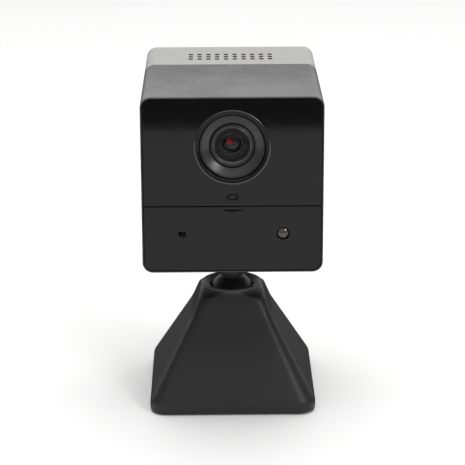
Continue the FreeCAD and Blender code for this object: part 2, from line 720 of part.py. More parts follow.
def front_cover():
    """Lower front cover: it pulls straight off its two tabs, towards the viewer."""
    back = LEDGE_Y - COVER_BACK_GAP
    wide = PANEL_HALF_X + CUT_MARGIN
    lower = block(-wide, wide, FRONT_Y, LEDGE_Y, HEAD_Z - HEAD_H, SEAM_Z - SEAM_GAP / 2)
    cover = front_blank(back).common(lower)
    for x, z in cover_tab_places():
        cover = cover.fuse(plate(TAB_T / 2, TAB_W / 2, back, back + TAB_L, z, x))
    cover = cover.cut(rod_y(MIC_HOLE_R, FRONT_Y, LEDGE_Y, -SIGNAL_X, SIGNAL_Z))
    cover = cover.cut(rod_y(DOME_HOLE_R, FRONT_Y, LEDGE_Y, SIGNAL_X, SIGNAL_Z))
    return softened(cover.removeSplitter()).cut(finger_notch())


RESET_R = 1.2
RESET_DROP = 4.5
RESET_Z = SEAM_Z - RESET_DROP
CARD_W = 11.6
CARD_H = 1.4
CARD_SOCKET_HALF_H = 1.0
CARD_Z = IO_TOP + CARD_SOCKET_HALF_H
EMITTER_FROM_TRIM = 4.6
EMITTER_X = TRIM_R + EMITTER_FROM_TRIM
EMITTER_R = 1.5
EMITTER_GAP = 0.3


def front_frame():
    """Inner bulkhead behind the front panel and cover."""
    body = rounded_y(IN_X - FIT, IN_Z - FIT, IN_CORNER_R, LEDGE_Y, FRAME_BACK_Y, HEAD_Z)
    openings = [rod_y(BEZEL_R, LEDGE_Y, FRAME_BACK_Y, 0, LENS_Z),
                oblong_y(STATUS_W, STATUS_H, LEDGE_Y, FRAME_BACK_Y, 0, STATUS_Z),
                plate(CARD_W / 2, CARD_H / 2, LEDGE_Y, FRAME_BACK_Y, CARD_Z),
                rod_y(RESET_R + RUNNING_GAP * 2, LEDGE_Y, FRAME_BACK_Y, 0, RESET_Z),
                rod_y(MIC_HOLE_R, LEDGE_Y, FRAME_BACK_Y, -SIGNAL_X, SIGNAL_Z),
                rod_y(DOME_R, LEDGE_Y, FRAME_BACK_Y, SIGNAL_X, SIGNAL_Z)]
    for side in (-1, 1):
        openings.append(rod_y(EMITTER_R + EMITTER_GAP, LEDGE_Y, FRAME_BACK_Y, side * EMITTER_X, LENS_Z))
    for x, z in cover_tab_places():
        openings.append(plate(TAB_T / 2 + TAB_GAP, TAB_W / 2 + TAB_GAP, LEDGE_Y, FRAME_BACK_Y, z, x))
    for x, z in corners(POST_X, POST_Z):
        openings.append(rod_y(SCREW_R, LEDGE_Y, FRAME_BACK_Y, x, HEAD_Z + z))
        openings.append(rod_y(SCREW_HEAD_R, LEDGE_Y, LEDGE_Y + SCREW_HEAD_T, x, HEAD_Z + z))
    return body.cut(Part.makeCompound(openings))


def frame_screws():
    return [screw_y(x, HEAD_Z + z, LEDGE_Y + SCREW_HEAD_T, LUG_HOLE_L, 1)
            for x, z in corners(POST_X, POST_Z)]


PIPE_SINK = 0.25
DOME_SINK = 0.35
DOME_FLATNESS = 1.6
DOME_FLANGE = 0.8


def light_pipe():
    return oblong_y(STATUS_W, STATUS_H, PANEL_Y + PIPE_SINK, FRAME_BACK_Y, 0, STATUS_Z)


def sensor_dome():
    """Clear moulded window: a rod through the frame and cover, ending in a shallow dome."""
    nose = PANEL_Y + DOME_SINK
    rod = rod_y(DOME_R, nose, FRAME_BACK_Y, SIGNAL_X, SIGNAL_Z)
    cap_r = DOME_R * DOME_FLATNESS
    offset = math.sqrt(cap_r ** 2 - DOME_R ** 2)
    ball = Part.makeSphere(cap_r, vec(SIGNAL_X, nose + offset, SIGNAL_Z))
    tip = ball.common(rod_y(DOME_R, nose - cap_r, nose, SIGNAL_X, SIGNAL_Z))
    flange = rod_y(DOME_R + DOME_FLANGE, FRAME_BACK_Y, FRAME_BACK_Y + DOME_FLANGE, SIGNAL_X, SIGNAL_Z)
    return rod.fuse([tip, flange]).removeSplitter()


# ---------------------------------------------------------------- lens and image path

def lens_trim_ring():
    """Raised lip round the lens opening: rolled outer edge, crest, slope down to a small inner step."""
    inner = BEZEL_R + FIT
    profile = [(TRIM_R, LEDGE_Y), (TRIM_R, FRONT_Y + 0.25), (TRIM_R - 0.12, FRONT_Y + 0.08),
               (TRIM_R - 0.32, FRONT_Y), (TRIM_R - 0.6, FRONT_Y + 0.06), (TRIM_R - 0.85, FRONT_Y + 0.3),
               (inner + 0.25, FRONT_Y + 0.65), (inner, FRONT_Y + 0.75), (inner, LEDGE_Y)]
    return turned_y(profile, 0, LENS_Z)


def lens_bezel():
    """Black cone that funnels in to the lens barrel."""
    bore = BARREL_R + 0.25
    profile = [(BEZEL_R, FRAME_BACK_Y), (BEZEL_R, FRONT_Y + 0.95), (BEZEL_R - 0.25, FRONT_Y + 0.75),
               (BEZEL_R - 0.5, FRONT_Y + 0.85), (BEZEL_R - 0.7, FRONT_Y + 1.1), (bore + 0.15, FRONT_Y + 2.3),
               (bore, FRONT_Y + 2.5), (bore, FRAME_BACK_Y)]
    return turned_y(profile, 0, LENS_Z)


LENS_SEAT_W = 0.6
LENS_SEAT_R = FRONT_LENS_R + LENS_SEAT_W
LENS_SEAT_DEPTH = 2.4
BAFFLE_W = 0.9
BAFFLE_T = 0.6


def lens_barrel():
    """Tube with a rolled front rim, a seat for the front lens, a baffle step and the rear lens's bore."""
    seat_y = BARREL_Y + LENS_SEAT_DEPTH
    baffle_r = REAR_LENS_R + BAFFLE_W
    baffle_y = seat_y + BAFFLE_T
    profile = [(BARREL_R, BARREL_BACK_Y), (BARREL_R, BARREL_Y + 0.4), (BARREL_R - 0.2, BARREL_Y + 0.15),
               (BARREL_R - 0.45, BARREL_Y), (LENS_SEAT_R + 0.1, BARREL_Y + 0.1),
               (LENS_SEAT_R, BARREL_Y + 0.2), (LENS_SEAT_R, seat_y), (baffle_r, seat_y),
               (baffle_r, baffle_y), (REAR_LENS_R, baffle_y + BAFFLE_T / 2), (REAR_LENS_R, BARREL_BACK_Y)]
    return turned_y(profile, 0, LENS_Z)


RETAINER_LAP = 0.15
RETAINER_SINK = 0.35
RETAINER_L = 0.5


def lens_retainer():
    """Threaded ring that holds the front lens in its barrel."""
    inner = FRONT_LENS_R - RETAINER_LAP
    top = BARREL_Y + RETAINER_SINK
    back = top + RETAINER_L
    profile = [(LENS_SEAT_R, back), (LENS_SEAT_R, top), (LENS_SEAT_R - 0.25, top - 0.05),
               (inner, top + 0.35), (inner, back)]
    return turned_y(profile, 0, LENS_Z)


def dome_lens(radius, y_rim, bulge, thickness):
    """Plano-convex lens looking along -Y: rim at y_rim, front bulging by bulge."""
    sphere_r = (radius ** 2 + bulge ** 2) / (2 * bulge)
    cap = Part.makeSphere(sphere_r, vec(0, y_rim - bulge + sphere_r, LENS_Z))
    cap = cap.common(rod_y(radius, y_rim - bulge - CUT_MARGIN, y_rim, 0, LENS_Z))
    return cap.fuse(rod_y(radius, y_rim, y_rim + thickness, 0, LENS_Z)).removeSplitter()


FRONT_LENS_BULGE = 1.3
FRONT_LENS_T = 1.5
FRONT_LENS_HOLLOW_R = 4.2
FRONT_LENS_HOLLOW_DEPTH = 1.1
REAR_LENS_DEPTH = 4.6
REAR_LENS_BULGE = 0.9
REAR_LENS_T = 1.4


def front_lens():
    """Bulging front element with a rim step under its retaining ring and a hollow back."""
    rim = BARREL_Y + RETAINER_SINK + RETAINER_L
    lens = dome_lens(LENS_SEAT_R - RUNNING_GAP, rim, FRONT_LENS_BULGE, FRONT_LENS_T)
    front = rim - FRONT_LENS_BULGE - CUT_MARGIN
    waist = rod_y(LENS_SEAT_R, front, rim, 0, LENS_Z)
    waist = waist.cut(rod_y(FRONT_LENS_R - RETAINER_LAP - RUNNING_GAP, front, rim, 0, LENS_Z))
    hollow_y = rim + FRONT_LENS_T + FRONT_LENS_HOLLOW_R - FRONT_LENS_HOLLOW_DEPTH
    return lens.cut(waist).cut(Part.makeSphere(FRONT_LENS_HOLLOW_R, vec(0, hollow_y, LENS_Z)))


def rear_lens():
    return dome_lens(REAR_LENS_R, BARREL_Y + REAR_LENS_DEPTH, REAR_LENS_BULGE, REAR_LENS_T)


def holder_bore():
    return rod_y(REAR_LENS_R + FIT, BARREL_BACK_Y, HOLDER_BACK_Y, 0, LENS_Z)


def lens_holder():
    """Barrel mount with a slot across it for the infrared cut filter's carriage."""
    tube = rod_y(HOLDER_R, FRAME_BACK_Y, BARREL_BACK_Y + CUT_MARGIN, 0, LENS_Z)
    housing = plate(HOLDER_BLOCK_HALF_X, HOLDER_BLOCK_HALF_Z, BARREL_BACK_Y, HOLDER_BACK_Y, LENS_Z)
    body = tube.fuse(housing)
    body = body.cut(rod_y(BARREL_R, FRAME_BACK_Y, BARREL_BACK_Y, 0, LENS_Z))
    half_t = CARRIAGE_T / 2 + CARRIAGE_GAP_Y
    slot = plate(HOLDER_BLOCK_HALF_X - SLOT_END_WALL, CARRIAGE_HALF_Z + CARRIAGE_GAP_Z,
                 SLOT_MID_Y - half_t, SLOT_MID_Y + half_t, LENS_Z)
    return body.cut(holder_bore()).cut(slot)


SLOT_END_WALL = 1.2
CARRIAGE_HALF_Z = 4.2
CARRIAGE_T = 0.9
CARRIAGE_GAP_Y = 0.15
CARRIAGE_GAP_Z = 0.2
CARRIAGE_RAIL = 0.8
WINDOW_HALF_X = 2.6
WINDOW_HALF_Z = 3.2
FILTER_T = 0.6


def ircut_carriage():
    """Sliding frame with two windows, one clear and one with the filter."""
    end = WINDOW_HALF_X + CARRIAGE_RAIL
    body = block(-SLIDE_TRAVEL - end, end, SLOT_MID_Y - CARRIAGE_T / 2, SLOT_MID_Y + CARRIAGE_T / 2,
                 LENS_Z - CARRIAGE_HALF_Z, LENS_Z + CARRIAGE_HALF_Z)
    for x in (0.0, -SLIDE_TRAVEL):
        body = body.cut(plate(WINDOW_HALF_X, WINDOW_HALF_Z, SLOT_MID_Y - CARRIAGE_T, SLOT_MID_Y + CARRIAGE_T,
                              LENS_Z, x))
    return body


def ircut_filter():
    half_t = FILTER_T / 2
    return plate(WINDOW_HALF_X, WINDOW_HALF_Z, SLOT_MID_Y - half_t, SLOT_MID_Y + half_t, LENS_Z)


SENSOR_HALF_X = 2.2
SENSOR_HALF_Z = 1.8
SENSOR_T = 0.7


def sensor_board():
    return plate(HOLDER_BLOCK_HALF_X, HOLDER_BLOCK_HALF_Z, HOLDER_BACK_Y, HOLDER_BACK_Y + BOARD_T, LENS_Z)


def image_sensor():
    return plate(SENSOR_HALF_X, SENSOR_HALF_Z, HOLDER_BACK_Y - SENSOR_T, HOLDER_BACK_Y, LENS_Z)


# ---------------------------------------------------------------- boards

FRONT_BOARD_INSET = 1.5
FRONT_BOARD_LOW = STATUS_Z - 3.0
FRONT_BOARD_HIGH = LENS_Z + EMITTER_R + 4.0
RESET_TAB_HALF = 3.0
RESET_TAB_DROP = 2.5
HOLDER_GAP = 0.4


def front_board():
    """Board behind the front bulkhead, with the status light, the emitters and a tab for the reset switch."""
    half_x = IN_X - FRONT_BOARD_INSET
    back = FRONT_BOARD_Y + BOARD_T
    body = block(-half_x, half_x, FRONT_BOARD_Y, back, FRONT_BOARD_LOW, FRONT_BOARD_HIGH)
    tab_low = RESET_Z - RESET_TAB_DROP
    tab = block(-RESET_TAB_HALF, RESET_TAB_HALF, FRONT_BOARD_Y, back, tab_low, FRONT_BOARD_LOW)
    body = body.fuse(tab).removeSplitter()
    return body.cut(rod_y(HOLDER_R + HOLDER_GAP, FRONT_BOARD_Y, back, 0, LENS_Z))


EMITTER_DOME_L = 0.9


def ir_emitters():
    emitters = []
    for side in (-1, 1):
        x = side * EMITTER_X
        lamp_y = LEDGE_Y + EMITTER_DOME_L
        lamp = rod_y(EMITTER_R, lamp_y, FRONT_BOARD_Y, x, LENS_Z)
        dome = Part.makeSphere(EMITTER_R, vec(x, lamp_y + EMITTER_R - EMITTER_DOME_L + FIT, LENS_Z))
        dome = dome.common(rod_y(EMITTER_R, LEDGE_Y, lamp_y, x, LENS_Z))
        emitters.append(lamp.fuse(dome).removeSplitter())
    return emitters


STATUS_LED_HALF_X = 0.8
STATUS_LED_HALF_Z = 0.6
IO_BOARD_L = 19.0
IO_BOARD_INSET = 1.0
IO_LUG_GAP = 0.6
IO_POST_CLEAR = 4.4
CARD_SOCKET_WALL = 0.8
CARD_SOCKET_L = 15.0
CARD_BACK_WALL = 0.6
CARD_SLOT_HALF_H = 0.55


def status_led():
    return plate(STATUS_LED_HALF_X, STATUS_LED_HALF_Z, FRAME_BACK_Y, FRONT_BOARD_Y, STATUS_Z)


def io_board():
    """Lower board for the card socket, microphone and light sensor, narrow where it passes the screw lugs."""
    half_x = IN_X - IO_BOARD_INSET
    neck_x = POST_X - IO_POST_CLEAR
    lug_y = FRAME_BACK_Y + LUG_L + IO_LUG_GAP
    wide = block(-half_x, half_x, lug_y, FRAME_BACK_Y + IO_BOARD_L, IO_BOARD_Z, IO_TOP)
    neck = block(-neck_x, neck_x, FRAME_BACK_Y, lug_y, IO_BOARD_Z, IO_TOP)
    return wide.fuse(neck).removeSplitter()


def card_socket():
    back = FRAME_BACK_Y + CARD_SOCKET_L
    body = plate(CARD_W / 2 + CARD_SOCKET_WALL, CARD_SOCKET_HALF_H, FRAME_BACK_Y, back, CARD_Z)
    return body.cut(plate(CARD_W / 2, CARD_SLOT_HALF_H, FRAME_BACK_Y, back - CARD_BACK_WALL, CARD_Z))


MIC_R = 2.0
MIC_L = 2.8
BOOT_WALL = 0.6
MIC_Y = FRAME_BACK_Y + BOOT_WALL


def microphone():
    return rod_y(MIC_R, MIC_Y, MIC_Y + MIC_L, -SIGNAL_X, SIGNAL_Z)


def mic_boot():
    """Rubber cup that seals the microphone to its hole in the bulkhead."""
    cup = rod_y(MIC_R + BOOT_WALL, FRAME_BACK_Y, MIC_Y + MIC_L + BOOT_WALL, -SIGNAL_X, SIGNAL_Z)
    return cup.cut(microphone()).cut(rod_y(MIC_HOLE_R, FRAME_BACK_Y, MIC_Y, -SIGNAL_X, SIGNAL_Z))


RESET_FLANGE_W = 0.7
RESET_FLANGE_T = 0.4
RESET_BACK_Y = FRAME_BACK_Y + FIT + RESET_FLANGE_T
RESET_SWITCH_HALF = 1.7
RESET_SWITCH_T = 0.45


def reset_button():
    stem = rod_y(RESET_R, LEDGE_Y - RUNNING_GAP, RESET_BACK_Y, 0, RESET_Z)
    flange = rod_y(RESET_R + RESET_FLANGE_W, FRAME_BACK_Y + FIT, RESET_BACK_Y, 0, RESET_Z)
    return stem.fuse(flange).removeSplitter()


def reset_switch():
    return plate(RESET_SWITCH_HALF, RESET_SWITCH_HALF, FRONT_BOARD_Y - RESET_SWITCH_T, FRONT_BOARD_Y, RESET_Z)


BOARD_POST_INSET_X = 9.5
BOARD_POST_INSET_Z = 10.5
BOARD_POST_X = IN_X - BOARD_POST_INSET_X
BOARD_POST_Z = IN_Z - BOARD_POST_INSET_Z
BOARD_POST_R = 2.0
MAIN_INSET_X = 2.0
MAIN_INSET_Z = 5.2
MAIN_BACK_Y = MAIN_BOARD_Y + BOARD_T
BOARD_SCREW_GRIP = 5.0


def board_places():
    return [(x, HEAD_Z + z) for x, z in corners(BOARD_POST_X, BOARD_POST_Z)]


def main_board():
    body = plate(IN_X - MAIN_INSET_X, IN_Z - MAIN_INSET_Z, MAIN_BOARD_Y, MAIN_BACK_Y, HEAD_Z)
    for x, z in board_places():
        body = body.cut(rod_y(SCREW_R, MAIN_BOARD_Y, MAIN_BACK_Y, x, z))
    return body


def board_screws():
    return [screw_y(x, z, MAIN_BOARD_Y, BOARD_T + BOARD_SCREW_GRIP, 1) for x, z in board_places()]


SHIELD_HALF = 8.0
SHIELD_H = 2.4
SHIELD_WALL = 0.3


def processor_shield():
    front = MAIN_BOARD_Y - SHIELD_H
    inside = SHIELD_HALF - SHIELD_WALL
    can = plate(SHIELD_HALF, SHIELD_HALF, front, MAIN_BOARD_Y, HEAD_Z)
    return can.cut(plate(inside, inside, front + SHIELD_WALL, MAIN_BOARD_Y, HEAD_Z))


# ---------------------------------------------------------------- battery

CELL_Y = CRADLE_Y + CRADLE_WALL + CELL_GAP
CRADLE_POST_GAP = 0.4
CELL_FLOOR_GAP = 3.6
CELL_ROOF_GAP = 11.2
CELL_CORNER_R = 2.0
CELL_BACK_Y = CELL_Y + CELL_T
CELL_HALF_X = POST_X - POST_R - CRADLE_POST_GAP - CRADLE_WALL - CELL_GAP
CELL_LOW = HEAD_BOTTOM + WALL + CELL_FLOOR_GAP
CELL_HIGH = HEAD_Z + HEAD_H / 2 - WALL - CELL_ROOF_GAP


def battery_cell():
    cell = block(-CELL_HALF_X, CELL_HALF_X, CELL_Y, CELL_BACK_Y, CELL_LOW, CELL_HIGH)
    return rounded(cell, vec(0, 0, 1), CELL_CORNER_R)


CRADLE_BACK_Y = CRADLE_Y + CRADLE_WALL
CRADLE_LINK_HALF = 4.0
BOARD_HOLE_L = 5.4
CRADLE_SCREW_GRIP = 5.0


def cradle_tray():
    side = CELL_HALF_X + CELL_GAP
    low = CELL_LOW - CELL_GAP
    high = CELL_HIGH + CELL_GAP
    tray = block(-side - CRADLE_WALL, side + CRADLE_WALL, CRADLE_Y, CELL_BACK_Y,
                 low - CRADLE_WALL, high + CRADLE_WALL)
    return tray.cut(block(-side, side, CRADLE_BACK_Y, CELL_BACK_Y, low, high))


def cradle_plates():
    """Upper and lower ears on the shell's posts, the spine between them, and wings behind the board."""
    ear_half = POST_X + POST_R
    ears = [plate(ear_half, POST_R, CRADLE_Y, CRADLE_BACK_Y, HEAD_Z + side * POST_Z) for side in (-1, 1)]
    link = plate(CRADLE_LINK_HALF, POST_Z, CRADLE_Y, CRADLE_BACK_Y, HEAD_Z)
    wings = plate(BOARD_POST_X + BOARD_POST_R, BOARD_POST_Z + BOARD_POST_R, CRADLE_Y, CRADLE_BACK_Y, HEAD_Z)
    return ears + [link, wings]


def battery_cradle():
    """Open tray for the cell, with screw ears on the rear shell's posts and posts for the main board."""
    posts = [rod_y(BOARD_POST_R, MAIN_BACK_Y, CRADLE_Y + LUG_OVERLAP, x, z) for x, z in board_places()]
    body = cradle_tray().fuse(posts + cradle_plates())
    for x, z in corners(POST_X, POST_Z):
        body = body.cut(rod_y(SCREW_R, CRADLE_Y, CRADLE_BACK_Y, x, HEAD_Z + z))
    for x, z in board_places():
        body = body.cut(rod_y(SCREW_R, MAIN_BACK_Y, MAIN_BACK_Y + BOARD_HOLE_L, x, z))
    return body.cut(lead_notch()).removeSplitter()


def cradle_screws():
    return [screw_y(x, HEAD_Z + z, CRADLE_Y, CRADLE_WALL + CRADLE_SCREW_GRIP, 1)
            for x, z in corners(POST_X, POST_Z)]


LEAD_R = 0.5
LEAD_PITCH = 1.6
LEAD_X = CELL_HALF_X - 4.0
LEAD_Y = CELL_Y + 3.0
LEAD_CLEAR = 0.2
LEAD_Z = HEAD_Z + BOARD_POST_Z + BOARD_POST_R + LEAD_R + LEAD_CLEAR
LEAD_BEND = 1.4
LEAD_NOTCH_GAP = LEAD_R + 0.5


def lead_wire(x):
    """One wire: up from the cell, round one bend, and forward to the main board."""
    corner_in = vec(x, LEAD_Y, LEAD_Z - LEAD_BEND)
    corner_out = vec(x, LEAD_Y - LEAD_BEND, LEAD_Z)
    share = 1 - math.sqrt(0.5)
    middle = vec(x, LEAD_Y - LEAD_BEND * share, LEAD_Z - LEAD_BEND * share)
    path = Part.Wire([Part.LineSegment(vec(x, LEAD_Y, CELL_HIGH), corner_in).toShape(),
                      Part.Arc(corner_in, middle, corner_out).toShape(),
                      Part.LineSegment(corner_out, vec(x, MAIN_BACK_Y, LEAD_Z)).toShape()])
    ring = Part.Wire([Part.makeCircle(LEAD_R, vec(x, LEAD_Y, CELL_HIGH), vec(0, 0, 1))])
    return path.makePipeShell([ring], True, True)


def battery_lead():
    return [lead_wire(LEAD_X + offset) for offset in (0.0, LEAD_PITCH)]


def lead_notch():
    """Opening in the tray's top wall that the wires rise through."""
    gap = LEAD_NOTCH_GAP
    return block(LEAD_X - gap, LEAD_X + LEAD_PITCH + gap, CRADLE_Y, LEAD_Y + gap, CELL_HIGH, LEAD_Z + gap)


# ---------------------------------------------------------------- speaker

SPEAKER_MARGIN_X = 1.7
SPEAKER_MARGIN_Y = 3.0
SPEAKER_WALL = 0.9
SPEAKER_DEPTH = 6.5
SPEAKER_HOLLOW = 4.0
SPEAKER_CORNER_R = 2.0
BASKET_CORNER_R = 1.0
MAGNET_R = 4.5
MAGNET_T = 1.7
CONE_DEPTH = 2.0
CONE_T = 0.4
CONE_CAP_R = 3.0
SPEAKER_HALF_X = (SLOT_COLUMNS - 1) / 2 * SLOT_PITCH_X + SPEAKER_MARGIN_X
SPEAKER_HALF_Y = (SLOT_ROWS - 1) / 2 * SLOT_PITCH_Y + SPEAKER_MARGIN_Y
BASKET_HALF_X = SPEAKER_HALF_X - SPEAKER_WALL
BASKET_HALF_Y = SPEAKER_HALF_Y - SPEAKER_WALL
SPEAKER_Y = REAR_Y - SLOT_CENTRE_FROM_REAR
SPEAKER_TOP = HEAD_Z + HEAD_H / 2 - WALL


def speaker_block(half_x, half_y, z0, z1, radius):
    body = block(-half_x, half_x, SPEAKER_Y - half_y, SPEAKER_Y + half_y, z0, z1)
    return rounded(body, vec(0, 0, 1), radius)


def speaker_frame():
    """Basket, open upwards under the slots, with its magnet on the underside."""
    low = SPEAKER_TOP - SPEAKER_DEPTH
    body = speaker_block(SPEAKER_HALF_X, SPEAKER_HALF_Y, low, SPEAKER_TOP, SPEAKER_CORNER_R)
    hollow_low = SPEAKER_TOP - SPEAKER_HOLLOW
    body = body.cut(speaker_block(BASKET_HALF_X, BASKET_HALF_Y, hollow_low, SPEAKER_TOP, BASKET_CORNER_R))
    return body.fuse(rod_z(MAGNET_R, low - MAGNET_T, low, 0, SPEAKER_Y))


def speaker_cone():
    low = SPEAKER_TOP - CONE_DEPTH
    disc = speaker_block(BASKET_HALF_X, BASKET_HALF_Y, low, low + CONE_T, BASKET_CORNER_R)
    cap = rod_z(CONE_CAP_R, SPEAKER_TOP - SPEAKER_HOLLOW, low + CONE_T, 0, SPEAKER_Y)
    return disc.fuse(cap).removeSplitter()


# ---------------------------------------------------------------- rear controls

POWER_BOARD_INSET = 3.6
POWER_BOARD_HALF_H = 4.6
POWER_BOARD_BACK_Y = POWER_BOARD_Y + BOARD_T
SOCKET_W = 9.0
SOCKET_H = 3.2
SOCKET_WALL = 0.3
SOCKET_NOSE = 0.6
SOCKET_BACK_WALL = 0.4
BLADE_HALF_W = 3.2
BLADE_HALF_T = 0.35
POWER_SWITCH_HALF = 2.2
POWER_SWITCH_T = 0.8
BUTTON_SINK = 0.2
BUTTON_EDGE_R = 0.4
BUTTON_FLANGE_W = 0.9
BUTTON_FLANGE_T = 0.6


def power_board():
    half_x = IN_X - POWER_BOARD_INSET - POST_R
    return plate(half_x, POWER_BOARD_HALF_H, POWER_BOARD_Y, POWER_BOARD_BACK_Y, POWER_ROW_Z)


def usb_socket():
    """Charging socket shell with its contact blade, open towards the flap."""
    mouth = REAR_INNER_Y + SOCKET_NOSE
    inside = POWER_BOARD_BACK_Y + SOCKET_BACK_WALL
    body = oblong_y(SOCKET_W, SOCKET_H, POWER_BOARD_BACK_Y, mouth, PORT_X, POWER_ROW_Z)
    body = body.cut(oblong_y(SOCKET_W - 2 * SOCKET_WALL, SOCKET_H - 2 * SOCKET_WALL, inside, mouth,
                             PORT_X, POWER_ROW_Z))
    blade = plate(BLADE_HALF_W, BLADE_HALF_T, inside - FIT, REAR_INNER_Y + FIT, POWER_ROW_Z, PORT_X)
    return body.fuse(blade).removeSplitter()


def power_switch():
    back = POWER_BOARD_BACK_Y + POWER_SWITCH_T
    return plate(POWER_SWITCH_HALF, POWER_SWITCH_HALF, POWER_BOARD_BACK_Y, back, POWER_ROW_Z, BUTTON_X)


def power_button():
    """Round key, just below the shell's face, with a flange that stops it behind the wall."""
    face_y = REAR_Y - BUTTON_SINK
    stop_y = REAR_INNER_Y - FIT
    root_y = stop_y - BUTTON_FLANGE_T
    cap = rod_y(BUTTON_R, root_y, face_y, BUTTON_X, POWER_ROW_Z)
    rim = [edge for edge in cap.Edges if edge.BoundBox.YMin > face_y - 1e-6]
    cap = cap.makeFillet(BUTTON_EDGE_R, rim)
    flange = rod_y(BUTTON_R + BUTTON_FLANGE_W, root_y, stop_y, BUTTON_X, POWER_ROW_Z)
    return cap.fuse(flange).removeSplitter()


# ---------------------------------------------------------------- output

NODES = [base_shell, base_plate, foot_pad, base_screws, ballast, socket_liner, ball_pad, ball_retainer,
         retainer_screws, ball_stud, stem_washer, stem_screw, neck_collar, neck_plate, neck_screws,
         front_sleeve, rear_shell, underside_screws, housing_gasket, front_panel, front_cover, front_frame,
         frame_screws, light_pipe, sensor_dome, lens_trim_ring, lens_bezel, lens_barrel, lens_retainer,
         front_lens, rear_lens, lens_holder, ircut_carriage, ircut_filter, sensor_board, image_sensor,
         front_board, ir_emitters, status_led, io_board, card_socket, microphone, mic_boot,
         reset_button, reset_switch, main_board, board_screws, processor_shield,
         battery_cell, battery_cradle, cradle_screws, battery_lead, speaker_frame,
         speaker_cone, power_board, usb_socket, power_switch, power_button, port_flap, flap_pin]


def write_node(make):
    """Write one node as a STEP file: a single solid, or a group of equal solids such as screws."""
    shape = make()
    pieces = shape if isinstance(shape, list) else [shape]
    solids = [solid for piece in pieces for solid in piece.Solids]
    whole = solids[0] if len(solids) == 1 else Part.makeCompound(solids)
    if not whole.isValid():
        print("invalid solid in", make.__name__)
    if len(solids) != len(pieces):
        print(make.__name__, "has", len(solids), "solids, expected", len(pieces))
    whole.exportStep("parts/" + make.__name__ + ".step")


os.makedirs("parts", exist_ok=True)
for maker in NODES:
    write_node(maker)
print(len(NODES), "nodes written")
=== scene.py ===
import bpy
import json
import math
from mathutils import Matrix, Vector


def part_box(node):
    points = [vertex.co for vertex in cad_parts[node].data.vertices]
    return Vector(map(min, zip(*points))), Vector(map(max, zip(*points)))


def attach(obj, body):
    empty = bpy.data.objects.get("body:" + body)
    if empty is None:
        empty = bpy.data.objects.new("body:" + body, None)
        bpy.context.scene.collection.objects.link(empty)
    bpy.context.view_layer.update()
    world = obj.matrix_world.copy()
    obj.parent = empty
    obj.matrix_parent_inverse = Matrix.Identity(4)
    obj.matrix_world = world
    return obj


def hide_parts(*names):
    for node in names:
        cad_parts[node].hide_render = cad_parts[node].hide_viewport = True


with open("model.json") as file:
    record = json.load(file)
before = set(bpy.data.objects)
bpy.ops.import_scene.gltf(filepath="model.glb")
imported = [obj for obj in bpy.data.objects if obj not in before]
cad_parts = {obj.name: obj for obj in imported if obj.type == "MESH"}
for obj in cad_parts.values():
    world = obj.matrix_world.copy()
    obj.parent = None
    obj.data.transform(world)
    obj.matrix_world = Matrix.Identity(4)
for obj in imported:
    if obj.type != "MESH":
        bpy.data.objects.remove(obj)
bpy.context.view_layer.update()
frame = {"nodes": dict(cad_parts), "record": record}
nodes = frame["nodes"]
MM = 0.001


# ---------------------------------------------------------------- camera, light and floor

CAMERA_DISTANCE = 0.5654
CAMERA_ELEVATION = math.radians(17.74)
CAMERA_AZIMUTH = math.radians(-0.55)
CAMERA_ROLL = math.radians(0.22)
CAMERA_TARGET = Vector((0.00028, 0.0, 0.04896))
CAMERA_LENS_MM = 146.05
SENSOR_W_MM = 36.0
CLIP_START = 0.01


def add_camera():
    back = Vector((math.sin(CAMERA_AZIMUTH) * math.cos(CAMERA_ELEVATION),
                   -math.cos(CAMERA_AZIMUTH) * math.cos(CAMERA_ELEVATION),
                   math.sin(CAMERA_ELEVATION)))
    data = bpy.data.cameras.new("camera")
    data.lens = CAMERA_LENS_MM
    data.sensor_width = SENSOR_W_MM
    data.clip_start = CLIP_START
    camera = bpy.data.objects.new("camera", data)
    right = Vector((0, 0, 1)).cross(back).normalized()
    up = back.cross(right)
    turn = Matrix((right, up, back)).transposed() @ Matrix.Rotation(-CAMERA_ROLL, 3, "Z")
    camera.matrix_world = Matrix.Translation(CAMERA_TARGET + back * CAMERA_DISTANCE) @ turn.to_4x4()
    bpy.context.scene.collection.objects.link(camera)
    bpy.context.scene.camera = camera


def add_area(name, place, target, size, power):
    data = bpy.data.lights.new(name, "AREA")
    data.shape = "RECTANGLE"
    data.size, data.size_y = size
    data.energy = power
    light = bpy.data.objects.new(name, data)
    direction = Vector(target) - Vector(place)
    light.location = place
    light.rotation_euler = direction.to_track_quat("-Z", "Y").to_euler()
    bpy.context.scene.collection.objects.link(light)


def link_mesh(name, mesh):
    piece = bpy.data.objects.new(name, mesh)
    bpy.context.scene.collection.objects.link(piece)
    return piece


def rectangle(name, x_range, y_range, z):
    mesh = bpy.data.meshes.new(name)
    corners = [(x, y, z) for x, y in ((x_range[0], y_range[0]), (x_range[1], y_range[0]),
                                      (x_range[1], y_range[1]), (x_range[0], y_range[1]))]
    mesh.from_pydata(corners, [], [(0, 1, 2, 3)])
    return link_mesh(name, mesh)


def stage_material(name, colour, roughness):
    material = bpy.data.materials.new(name)
    material.use_nodes = True
    shader = material.node_tree.nodes["Principled BSDF"]
    shader.inputs["Base Color"].default_value = (*colour, 1)
    shader.inputs["Roughness"].default_value = roughness
    return material


FLOOR_HALF = 3
FLOOR_COLOUR = (0.93, 0.93, 0.925)
FLOOR_ROUGHNESS = 0.9
FLAG_HALF_X = 2
FLAG_FAR_Y = 2.9
FLAG_FRONT_Y = -0.376
FLAG_BACK_Y = -0.018
FLAG_HEIGHT = 0.0005
FLAG_COLOUR = (0.002, 0.002, 0.002)


